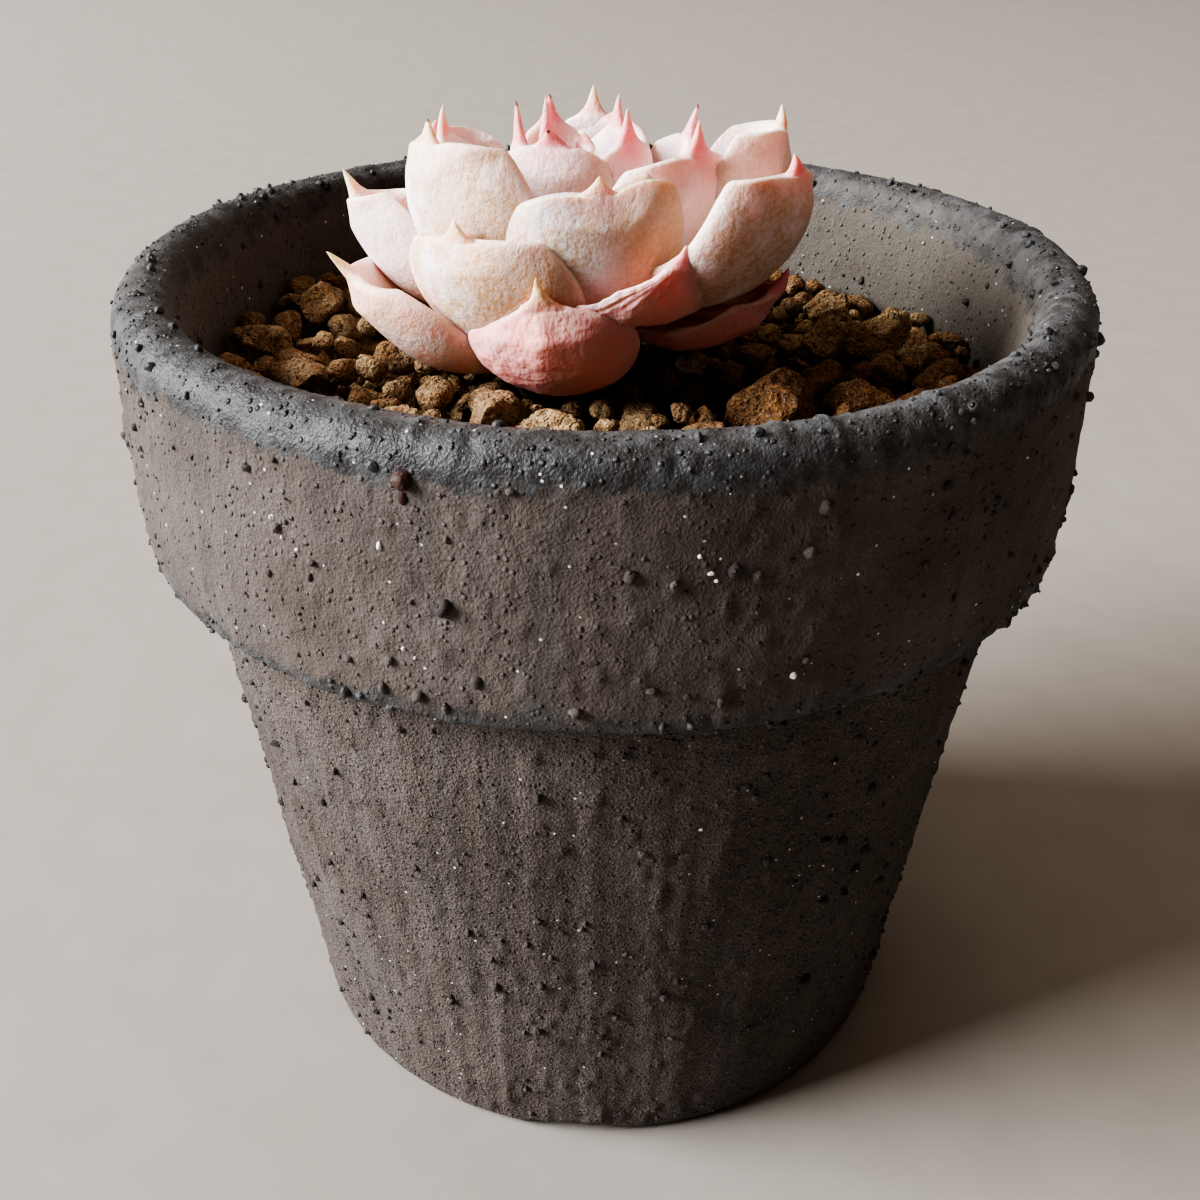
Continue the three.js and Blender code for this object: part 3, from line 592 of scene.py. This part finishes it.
def make_pot(material):
    """The pot in two pieces that meet in the corner under the collar."""
    profile, points, faces, inside = pot_grid()
    normals = vertex_normals(points, faces)
    under_collar = (profile[:, 0] > BODY_TOP_RADIUS - 0.4) & (profile[:, 1] > COLLAR_BOTTOM - 0.5)
    corner = np.flatnonzero(under_collar)[0]
    row = faces.min(axis=1) // POT_COLUMNS
    wraps = (faces.max(axis=1) - faces.min(axis=1)) > 2 * POT_COLUMNS
    lower = (row < corner) & ~wraps
    for name, chosen in (("pot_body", lower), ("pot_collar", ~lower)):
        used = np.unique(faces[chosen])
        place = np.zeros(len(points), int)
        place[used] = np.arange(len(used))
        masks = {"lump": np.zeros(len(used)), "inside": inside[used]}
        make_mesh(name, points[used], place[faces[chosen]], masks, ("pot",), material)
    return points, normals


def ball(level):
    """A unit ball of triangles, finer with each level."""
    shape = bmesh.new()
    bmesh.ops.create_icosphere(shape, subdivisions=level, radius=1)
    points = np.array([v.co[:] for v in shape.verts])
    faces = np.array([[v.index for v in f.verts] for f in shape.faces])
    shape.free()
    return points, faces


def joined(parts):
    """Several (points, faces, masks) as one."""
    points, faces, masks, start = [], [], {}, 0
    for part_points, part_faces, part_masks in parts:
        points.append(part_points)
        faces.append(part_faces + start)
        start += len(part_points)
        for key, values in part_masks.items():
            masks.setdefault(key, []).append(values)
    return np.concatenate(points), np.concatenate(faces), {k: np.concatenate(v) for k, v in masks.items()}


def make_grog(material, skin, normals):
    """Grains of grog that stand out of the clay."""
    draw = np.random.default_rng(11)
    height = skin[:, 2]
    radius = np.hypot(skin[:, 0], skin[:, 1])
    outside = radius > np.interp(height, (0, COLLAR_BOTTOM, COLLAR_BOTTOM + 1), (30, 38, 41))
    shown = (height > 1.2) & (outside | (height > 71))
    crowding = 0.25 + smooth(-0.2, 0.7, NOISES[6](skin, 14))
    crowding = crowding * (1 + 1.1 * smooth(78.5, 81, height) + 1.3 * smooth(61, 59, height) * (height > 58))
    crowding = crowding * np.where(outside, 1, 0.35)
    weight = np.where(shown, crowding, 0)
    choice = draw.choice(len(skin), GROG_GRAINS, replace=False, p=weight / weight.sum())
    lumps = [("dark", index, 0.13 + 0.38 * draw.random() ** 5) for index in choice]
    azimuth = np.degrees(np.arctan2(skin[:, 1], skin[:, 0]))
    for kind, turn, level, size in MARKS:
        apart = np.hypot((azimuth - turn) * 0.75, height - level) + 99 * ~outside
        lumps.append((kind, np.argmin(apart), size * (0.75 if kind == "pale" else 1)))
    coarse, fine = ball(1), ball(2)
    parts = []
    for kind, index, size in lumps:
        points, faces = fine if size > 0.24 else coarse
        points = points * (1 + 0.35 * NOISES[7](points + draw.random(3) * 90, 0.8))[:, None]
        points = points * size * draw.uniform(0.7, 1.3, 3) + skin[index] + normals[index] * size * 0.1
        shades = dict(lump=0.1 + 0.8 * draw.random() ** 1.5, inside=0, pale=0, rust=0)
        if kind != "dark":
            shades |= {"lump": 0, kind: 1}
        parts.append((points, faces, {key: np.full(len(points), value) for key, value in shades.items()}))
    points, faces, masks = joined(parts)
    make_mesh("pot_grog", points, faces, masks, (), material)


# Leaves

def leaf_sections(leaf):
    """Cross-sections of a leaf from its base to the end of its point."""
    (start_r, start_z), (end_r, end_z) = leaf["base"], leaf["crest"]
    leave, arrive, point = np.radians(leaf["slopes"])
    reach = 0.47 * math.hypot(end_r - start_r, end_z - start_z)
    corners = np.array([
        (start_r, start_z),
        (start_r + reach * math.cos(leave), start_z + reach * math.sin(leave)),
        (end_r - reach * math.cos(arrive), end_z - reach * math.sin(arrive)),
        (end_r, end_z),
    ])
    t = np.linspace(0, 1, 200)[:, None]
    weights = np.hstack([(1 - t) ** 3, 3 * (1 - t) ** 2 * t, 3 * (1 - t) * t**2, t**3])
    curve = weights @ corners
    lengths = np.concatenate([[0], np.cumsum(np.linalg.norm(np.diff(curve, axis=0), axis=1))])
    length = lengths[-1]
    headings = np.unwrap(np.arctan2(*np.gradient(curve, axis=0).T[::-1]))
    share = 1 - (1 - np.linspace(0, 1, LEAF_ROWS)) ** 1.35
    blade = np.stack([np.interp(share * length, lengths, curve[:, k]) for k in (0, 1)], axis=1)
    slope = np.interp(share * length, lengths, headings)
    spike_share = np.linspace(0, 1, SPIKE_ROWS + 1)[1:] ** 1.15
    turn = (point - arrive) * spike_share
    spike = np.stack([end_r + leaf["spike"] * spike_share * np.cos(arrive + turn / 2),
                      end_z + leaf["spike"] * spike_share * np.sin(arrive + turn / 2)], axis=1)
    share = np.concatenate([share, np.ones(SPIKE_ROWS)])
    on_spike = np.concatenate([np.zeros(LEAF_ROWS), spike_share])
    past = np.where(on_spike > 0, on_spike * leaf["spike"], (share - 1) * length)
    rise = np.sin(np.clip(share / leaf["widest"], 0, 1) * math.pi / 2) ** 1.15
    fall = np.clip((share - leaf["widest"]) / (1 - leaf["widest"]), 0, 1)
    width = np.where(share > leaf["widest"], (1 - fall ** leaf["square"]) ** (1 / leaf["square"]),
                     leaf["narrow"] + (1 - leaf["narrow"]) * rise)
    width = np.where(on_spike > 0, 0, width * leaf["half_width"])
    fade = (1 - on_spike) ** 0.75
    flare = SPIKE_FLARE * np.exp(-np.maximum(past + 0.25, 0) / 0.9) * (1 - on_spike)
    stalk = (SPIKE_RADIUS * fade + flare) * np.clip((past + 2.5) / 2.5, 0, 1)
    on_blade = np.clip(-past / 2.2, 0, 1)
    belly = 0.25 + 0.75 * np.sin(share**0.8 * math.pi * 0.8)
    core = 0.85 * SPIKE_RADIUS * fade
    return dict(
        centre=np.concatenate([blade, spike]), slope=np.concatenate([slope, arrive + turn]), share=share,
        past=past, on_blade=on_blade, on_spike=on_spike, width=np.cbrt(width**3 + stalk**3),
        back=leaf["back"] * belly * on_blade + core * (1 - on_blade),
        face=leaf["face"] * belly * on_blade + core * (1 - on_blade),
        cup=np.maximum(leaf["cup"] * np.clip(share / 0.35, 0, 1) * on_blade, 1e-3),
    )


def leaf_surface(leaf):
    """Points and quads of a leaf, its masks, and where each point lies on it."""
    s = {key: value[:, None] if value.ndim == 1 else value for key, value in leaf_sections(leaf).items()}
    turn = np.linspace(0, 2 * math.pi, LEAF_COLUMNS, endpoint=False)[None, :]
    across = np.cos(turn)
    half = np.abs(np.sin(turn)) ** 0.8
    off = np.where(np.sin(turn) < 0, -s["back"] * half, s["face"] * half)
    bend = s["cup"] * across
    side = np.sin(bend) / s["cup"] * s["width"] - np.sin(bend) * off
    lift = (1 - np.cos(bend)) / s["cup"] * s["width"] + np.cos(bend) * off
    corner = np.clip((s["share"] - 0.55) / 0.45, 0, 1) * np.sqrt(s["on_blade"])
    forward = leaf["ears"] * np.abs(across) ** 1.5 + leaf["tilt"] * across
    for middle, reach, height in leaf["ripples"]:
        forward = forward + height * np.exp(-(((across - middle) / reach) ** 2))
    forward = corner * forward
    sideways = side + math.tan(math.radians(leaf["lean"])) * np.maximum(s["past"], 0)
    r = s["centre"][:, :1] - np.sin(s["slope"]) * lift + np.cos(s["slope"]) * forward
    z = s["centre"][:, 1:] + np.cos(s["slope"]) * lift + np.sin(s["slope"]) * forward
    azimuth = math.radians(leaf["azimuth"])
    points = np.stack([AXIS_X + math.cos(azimuth) * r - math.sin(azimuth) * sideways,
                       math.sin(azimuth) * r + math.cos(azimuth) * sideways, z], axis=-1)
    rows = points.shape[0]
    faces = grid_faces(rows, LEAF_COLUMNS, False)
    points = points.reshape(-1, 3)

    def spread(values):
        return np.broadcast_to(values, (rows, LEAF_COLUMNS)).ravel()

    inwards = s["width"] * (1 - np.abs(across))
    from_crest = np.abs(s["past"])
    margin = np.where(s["on_spike"] > 0, 9, np.minimum(inwards, from_crest + 0.15))
    root = np.hypot(s["past"], s["width"] * across)
    masks = dict(
        edge=spread(np.exp(-margin / 0.35)),
        rim=spread(np.exp(-margin / 1.8)),
        keel=spread(np.exp(-np.maximum(root - 0.6, 0) / 1.5)),
        tip=spread(s["on_spike"]),
    )
    place = dict(across=spread(across), share=spread(s["share"]), calm=spread(s["on_blade"]))
    return points, faces, masks, place


# How far each leaf leans to bare tan mottles (tone), blush (ripe), a cream point (cream), a bare
# flesh-coloured right side, or left if below 0, that is also painted shade on that side
# (bared_and_painted_shade) and a red stain under its point (stain)
LEAF_TONES = {
    "leaf_outer_1": (1.4, 0.14, 0.8, 0.6, 0.25), "leaf_middle_5": (0.95, 0.05, 0.6, 0.8, 0.3),
    "leaf_middle_4": (1.1, 0.15, 0.1, 0.9, 0.7), "leaf_outer_5": (0.9, 0.75, 1, 0.4, 0.5),
    "leaf_outer_2": (0.12, 0.10, 1, 0.1, 0.2), "leaf_inner_6": (0.35, 0.35, 0.1, 0.25, 0.9),
    "leaf_middle_1": (0.3, 0.05, 0.8, -0.4, 0.15), "leaf_middle_3": (0.95, 0.08, 0.9, 0.4, 0.15),
    "leaf_inner_1": (0.15, 0.22, 0, 0.4, 0.5), "leaf_middle_2": (0.5, 0.2, 0, 0.9, 0.2),
    "leaf_inner_5": (0.05, 0, 0.4, 0, 0.1), "leaf_old_1": (0.1, 0.95, 1, 0.1, 0.6),
    "leaf_old_2": (0.1, 0.08, 0.1, 0, 0.15), "leaf_old_3": (0.3, 1, 0, 0, 0.6),
    "leaf_outer_3": (0.6, 0.2, 0.6, 0.3, 0.3), "leaf_outer_4": (0.6, 0.25, 0.6, 0.3, 0.3),
    "leaf_middle_6": (0.6, 0.15, 0.5, 0.3, 0.3), "leaf_heart_3": (0.05, 0, 0, 0, 0.9),
    "leaf_inner_3": (0.05, 0, 0.5, 0, 0.1), "leaf_heart_2": (0.05, 0, 0, 0, 0.15),
    "leaf_heart_4": (0.1, 0.25, 0, 0.5, 0.6), "leaf_inner_4": (0.05, 0, 0, 0, 0.4),
}
DARK_POINTS = ("leaf_inner_1", "leaf_heart_5", "leaf_heart_4", "leaf_inner_4", "leaf_middle_3")


def wrinkles(name, points, place):
    """Dents of a leaf's skin in millimetres, deeper on the old leaves."""
    dents = 0.12 * NOISES[1](points, 6) + 0.04 * NOISES[2](points, 2.4)
    along = np.stack([place["across"] * 7, place["share"] * 5, 0 * place["share"]], axis=1)
    if name == "leaf_old_1":
        left = smooth(0.35, -0.35, place["across"])
        dents += 0.08 * layered(points, 1.7, 2, 4) * (0.35 + 0.65 * left)
        dents += 0.24 * np.abs(NOISES[5](points * (1, 1, 0.3), 1.6)) * (0.3 + 0.7 * left)
        dents -= 0.5 * np.exp(-((place["across"] / 0.16) ** 2)) * smooth(0.45, 0.95, place["share"])
    if name in ("leaf_old_2", "leaf_old_3"):
        folds = NOISES[3](along, 1.1) + 0.5 * NOISES[4](along * (1.6, 0.6, 1), 0.7)
        dents += 0.4 * folds + 0.16 * np.abs(NOISES[6](points, 1.1))
    return dents * place["calm"]


def make_leaf(entry, fresh, old):
    name, shape, azimuth, crest, slopes, half_width, spike, more = entry
    leaf = dict(ears=0, tilt=0, lean=0, ripples=()) | SHAPES[shape] | more
    leaf |= dict(azimuth=azimuth, crest=crest, slopes=slopes, half_width=half_width, spike=spike)
    points, faces, masks, place = leaf_surface(leaf)
    normals = vertex_normals(points, faces)
    points = points - normals * wrinkles(name, points, place)[:, None]
    triangles = capped(faces, len(points), LEAF_COLUMNS)
    points = np.vstack([points, points[:LEAF_COLUMNS].mean(0), points[-LEAF_COLUMNS:].mean(0)])
    tone, ripe, cream, bared_and_painted_shade, stain = LEAF_TONES.get(name, (0.1, 0.03, 0.1, 0.1, 0.5))
    masks["keel"] = stain * masks["keel"]
    # Bare flesh and painted shade on the right side, or on the left if the number is below 0
    masks["bared_and_painted_shade"] = abs(bared_and_painted_shade) * smooth(-0.2, 0.4, math.copysign(1, bared_and_painted_shade) * place["across"]) * place["calm"]
    kept = {key: np.append(values, (values[0], values[-1])) for key, values in masks.items()}
    numbers = dict(tone=tone, ripe=ripe, cream=cream, dot=float(name in DARK_POINTS))
    kept |= {key: np.full(len(points), number) for key, number in numbers.items()}
    aged = name.startswith("leaf_old")
    return make_mesh(name + "_blade", points, triangles, kept, (name,), old if aged else fresh)


# Gravel and stem

def gravel_height(x, y):
    slope = -0.03 * x - 0.01 * y
    bumps = np.sin(x * 0.9 + 1) * np.cos(y * 0.8) + np.sin(x * 0.45 - y * 0.6 + 2)
    return GRAVEL_TOP + slope + 0.7 * bumps


def stone_shape(draw, level, radius, squash):
    """A broken, porous stone: a ball with flats cut off it, turned at random and pressed flat."""
    points, faces = ball(level)
    for _ in range(15):
        facet = unit(draw.normal(size=3))
        over = np.maximum(points @ facet - draw.uniform(0.5, 0.88), 0)
        points = points - facet * (over * 0.92)[:, None]
    shift = draw.random(3) * 400
    relief = 0.13 * layered(points + shift, 0.8, 3, 2)
    if level > 3:
        relief = relief + 0.03 * layered((points + shift) * radius, 0.9, 2, 5)
        relief = relief - 0.05 * smooth(0.3, 0.7, NOISES[1]((points + shift) * radius, 0.9))
    points = points * (1 + relief)[:, None] * draw.uniform((1.0, 0.8, 0.8), (1.25, 1.0, 1.0))
    turn, _ = np.linalg.qr(draw.normal(size=(3, 3)))
    points = points @ turn
    points = points / np.abs(points).max(axis=0) * (1, draw.uniform(0.82, 1), squash)
    if np.linalg.det(turn) < 0:
        faces = faces[:, ::-1]
    spin = draw.uniform(0, 2 * math.pi)
    c, s = math.cos(spin), math.sin(spin)
    return points * radius @ np.array([[c, s, 0], [-s, c, 0], [0, 0, 1]]), faces


def stone_tone_and_painted_light(draw, x, y):
    """A stone's tone, partly random and partly painted light and shade where the stone lies."""
    # Painted light on the stones at the front, on the left, by the right-hand wall and beside the stem
    painted_light = math.exp(-((x + 5) ** 2 + (y + 22) ** 2) / 110)
    painted_light += 1.4 * math.exp(-((x - 26) ** 2 + (y - 13) ** 2) / 110)
    painted_light += 0.45 * math.exp(-((x + 26) ** 2 + y ** 2) / 90)
    painted_light += 1.2 * math.exp(-((x - 7) ** 2 + (y - 1) ** 2) / 40)
    # Painted shade on the stones towards the right
    painted_shade = 0.35 * float(smooth(0, 14, x))
    return min(max(0.08 + 0.35 * draw.random() + 0.85 * painted_light - painted_shade, 0), 1)


def settled_grains(draw, leaf_points):
    """Loose grains as (x, y, z, radius), each dropped where the lowest of a few tries comes to rest."""
    low = leaf_points[leaf_points[:, 2] < 80]
    tree = KDTree(len(low))
    for i, point in enumerate(low):
        tree.insert(point, i)
    tree.balance()
    placed = [(x, y, gravel_height(x, y) + r * STONE_LIFT, r * 0.9) for (x, y), r, _ in STONES]
    grains = []
    for count, small, large in GRAIN_SIZES:
        for _ in range(count):
            radius = draw.uniform(small, large)
            best = None
            for _ in range(TRIES_PER_GRAIN):
                reach = (GRAVEL_REACH - radius * 0.7) * math.sqrt(draw.random())
                angle = draw.uniform(0, 2 * math.pi)
                x, y = reach * math.cos(angle), reach * math.sin(angle)
                near = np.array(placed)
                apart = np.hypot(near[:, 0] - x, near[:, 1] - y)
                touch = near[:, 3] + radius * PACKING
                close = apart < touch
                top = gravel_height(x, y)
                z = top - GRAVEL_DEPTH + radius * 0.5
                if close.any():
                    z = max(z, (near[close, 2] + np.sqrt(touch[close] ** 2 - apart[close] ** 2)).max())
                if z + radius * 0.6 > top + GRAVEL_PROUD:
                    continue
                in_leaf = tree.find((x, y, z))[2] < radius + LEAF_GAP
                if in_leaf or math.hypot(x - AXIS_X, y) < radius + STEM_GAP:
                    continue
                if best is None or z < best[2]:
                    best = (x, y, z)
            if best:
                placed.append((*best, radius * PACKING))
                grains.append((*best, radius))
    return grains


def make_gravel(material, leaf_points):
    draw = np.random.default_rng(5)
    for index, ((x, y), radius, squash) in enumerate(STONES):
        points, faces = stone_shape(draw, 5, radius * 1.04, squash)
        points = points + (x, y, gravel_height(x, y) + radius * STONE_LIFT)
        name = f"stone_{index + 1}"
        # Each stone's tone includes painted light and shade
        tones = np.full(len(points), stone_tone_and_painted_light(draw, x, y))
        make_mesh(name + "_grain", points, faces, {"tone": tones}, (name,), material)
    groups = {"gravel_coarse": [], "gravel_fine": []}
    for x, y, z, radius in settled_grains(draw, leaf_points):
        coarse = radius > COARSE_RADIUS
        points, faces = stone_shape(draw, 3 if coarse else 2, radius, draw.uniform(0.75, 0.95))
        tone = np.full(len(points), stone_tone_and_painted_light(draw, x, y))
        group = groups["gravel_coarse" if coarse else "gravel_fine"]
        group.append((points + (x, y, z), faces, {"tone": tone}))
    for name, parts in groups.items():
        points, faces, masks = joined(parts)
        make_mesh(name, points, faces, masks, ("gravel_bed",), material)


def make_gravel_floor(material):
    """A bed under the grains, painted dark as the shade between them, so that nothing shows between them."""
    rings, columns = 40, 160
    radius = np.repeat(np.linspace(0.01, inner_radius(68) - 0.2, rings), columns)
    angle = np.tile(np.linspace(0, 2 * math.pi, columns, endpoint=False), rings)
    x, y = radius * np.cos(angle), radius * np.sin(angle)
    z = gravel_height(x, y) - UNDERLAYER_DEPTH + 0.8 * layered(np.stack([x, y, 0 * x], 1), 3, 3)
    top = np.stack([x, y, z], 1)
    edge = top[-columns:] * (1, 1, 0) + (0, 0, UNDERLAYER_BOTTOM)
    points = np.vstack([top, edge, (0, 0, UNDERLAYER_BOTTOM)])
    quads = grid_faces(rings + 1, columns, False)
    ring = np.arange(columns) + rings * columns
    centre = np.full(columns, len(points) - 1)
    underside = np.stack([ring, np.roll(ring, -1), centre], 1)
    triangles = np.concatenate([quads[:, [0, 1, 2]], quads[:, [0, 2, 3]], underside])
    make_mesh("gravel_underlayer", points, triangles, {"tone": np.full(len(points), 0.1)},
              ("gravel_bed",), material)


def make_stem(material):
    rows, columns = 50, 48
    height = np.repeat(np.linspace(STEM_BOTTOM, STEM_TOP, rows), columns)
    turn = np.tile(np.linspace(0, 2 * math.pi, columns, endpoint=False), rows)
    radius = np.interp(height, (STEM_BOTTOM, 61, 79, STEM_TOP), (1.2, 2.2, 2.2, 1.0))
    scars = NOISES[0](np.stack([turn * 2, height, 0 * turn], 1), 1.2)
    radius = radius + 0.12 * scars + 0.1 * np.sin(height * 4)
    points = np.stack([AXIS_X + radius * np.cos(turn), radius * np.sin(turn), height], 1)
    triangles = capped(grid_faces(rows, columns, False), len(points), columns)
    points = np.vstack([points, (AXIS_X, 0, STEM_BOTTOM), (AXIS_X, 0, STEM_TOP)])
    make_mesh("stem_bark", points, triangles, {}, ("stem",), material)


# Stage

def make_stage():
    """A rounded rectangle of pale floor whose edges sweep up into the walls."""
    n = Nodes("pale_floor")
    speckle = n.span(n.noise(9, 3, 0.5), 0.3, 0.7)
    n.set(Base_Color=n.mix(speckle, (0.275, 0.252, 0.226), (0.292, 0.268, 0.242)), Roughness=0.7)
    turn = np.linspace(0, 2 * math.pi, FLOOR_COLUMNS, endpoint=False)
    edge = np.stack([np.cos(turn), np.sin(turn)], axis=1)
    edge = np.sign(edge) * np.sqrt(np.abs(edge)) * FLOOR_HALF_SIZE
    outwards = unit(edge)
    sweep = [(SWEEP_RADIUS * math.sin(a), SWEEP_RADIUS * (1 - math.cos(a)))
             for a in np.linspace(0, math.pi / 2, SWEEP_STEPS)]
    points = []
    for out, height in [(-0.3, 0)] + sweep + [(SWEEP_RADIUS, WALL_TOP)]:
        for x, y in edge + outwards * out + FLOOR_CENTRE:
            points.append((x, y, height))
    rows = len(points) // FLOOR_COLUMNS
    faces = [tuple(range(FLOOR_COLUMNS))] + grid_faces(rows, FLOOR_COLUMNS, False).tolist()
    mesh = bpy.data.meshes.new("floor")
    mesh.from_pydata(points, [], faces)
    mesh.polygons.foreach_set("use_smooth", [False] + [True] * (len(faces) - 1))
    mesh.materials.append(n.material)
    floor = bpy.data.objects.new("floor", mesh)
    bpy.context.scene.collection.objects.link(floor)


def add_light(name, place, target, size, power, colour):
    light = bpy.data.lights.new(name, "AREA")
    light.shape = "RECTANGLE"
    light.size, light.size_y = size
    light.energy = power
    light.color = colour
    lamp = bpy.data.objects.new(name, light)
    lamp.location = place
    lamp.rotation_euler = (Vector(target) - Vector(place)).to_track_quat("-Z", "Y").to_euler()
    bpy.context.scene.collection.objects.link(lamp)


def make_lights():
    aim = (0, 0, 0.06)
    add_light("window", (-2.11, -0.34, 1.18), aim, (1.6, 1.4), 225, (0.98, 0.99, 1.0))
    add_light("ceiling", (0.1, 0.3, 1.7), aim, (1.6, 1.6), 9, (1.0, 0.84, 0.70))
    world = bpy.data.worlds.new("room")
    world.use_nodes = True
    background = world.node_tree.nodes["Background"]
    background.inputs["Color"].default_value = (1.0, 0.58, 0.32, 1)
    background.inputs["Strength"].default_value = 0.085
    bpy.context.scene.world = world
    bpy.context.scene.view_settings.look = "AgX - High Contrast"


def make_camera():
    data = bpy.data.cameras.new("camera")
    data.sensor_width = 36
    data.sensor_fit = "HORIZONTAL"
    data.lens = LENS_PER_FRAME * data.sensor_width
    data.clip_start = 0.01
    camera = bpy.data.objects.new("camera", data)
    camera.location = [value * MM for value in CAMERA_PLACE]
    camera.rotation_euler = (math.radians(90 - CAMERA_PITCH_DOWN), math.radians(CAMERA_ROLL), 0)
    bpy.context.scene.collection.objects.link(camera)
    bpy.context.scene.camera = camera


# Assembly

make_camera()
make_lights()
make_stage()

stoneware = stoneware_material()
make_grog(stoneware, *make_pot(stoneware))

fresh_leaf = leaf_material("leaf_skin", (0.90, 0.85, 0.87), (0.80, 0.73, 0.76), (0.55, 0.38, 0.17),
                           (0.86, 0.52, 0.42))
old_leaf = leaf_material("old_leaf_skin", (0.87, 0.50, 0.47), (0.83, 0.43, 0.41), (0.68, 0.38, 0.33),
                         (0.86, 0.35, 0.34), wrinkled=1.0, depth=0.30)
leaf_pieces = [make_leaf(entry, fresh_leaf, old_leaf) for entry in LEAVES]
leaf_places = np.concatenate([
    np.array([v.co[:] for v in piece.data.vertices]) / MM for piece in leaf_pieces])

gravel = gravel_material()
make_gravel(gravel, leaf_places)
make_gravel_floor(gravel)
make_stem(plain_material("stem_bark", (0.16, 0.08, 0.05), (0.34, 0.20, 0.13), 1.2, 0.9, 0.3))

mix_material = plain_material("potting_mix", (0.03, 0.018, 0.01), (0.14, 0.085, 0.05), 1.5, 1.0, 0.8)
net_material = plain_material("drainage_net", (0.012, 0.012, 0.012), (0.03, 0.03, 0.03), 0.8, 0.5, 0.05)
for node, look in (("potting_mix", mix_material), ("drainage_mesh", net_material)):
    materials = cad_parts[node].data.materials
    materials.clear()
    materials.append(look)
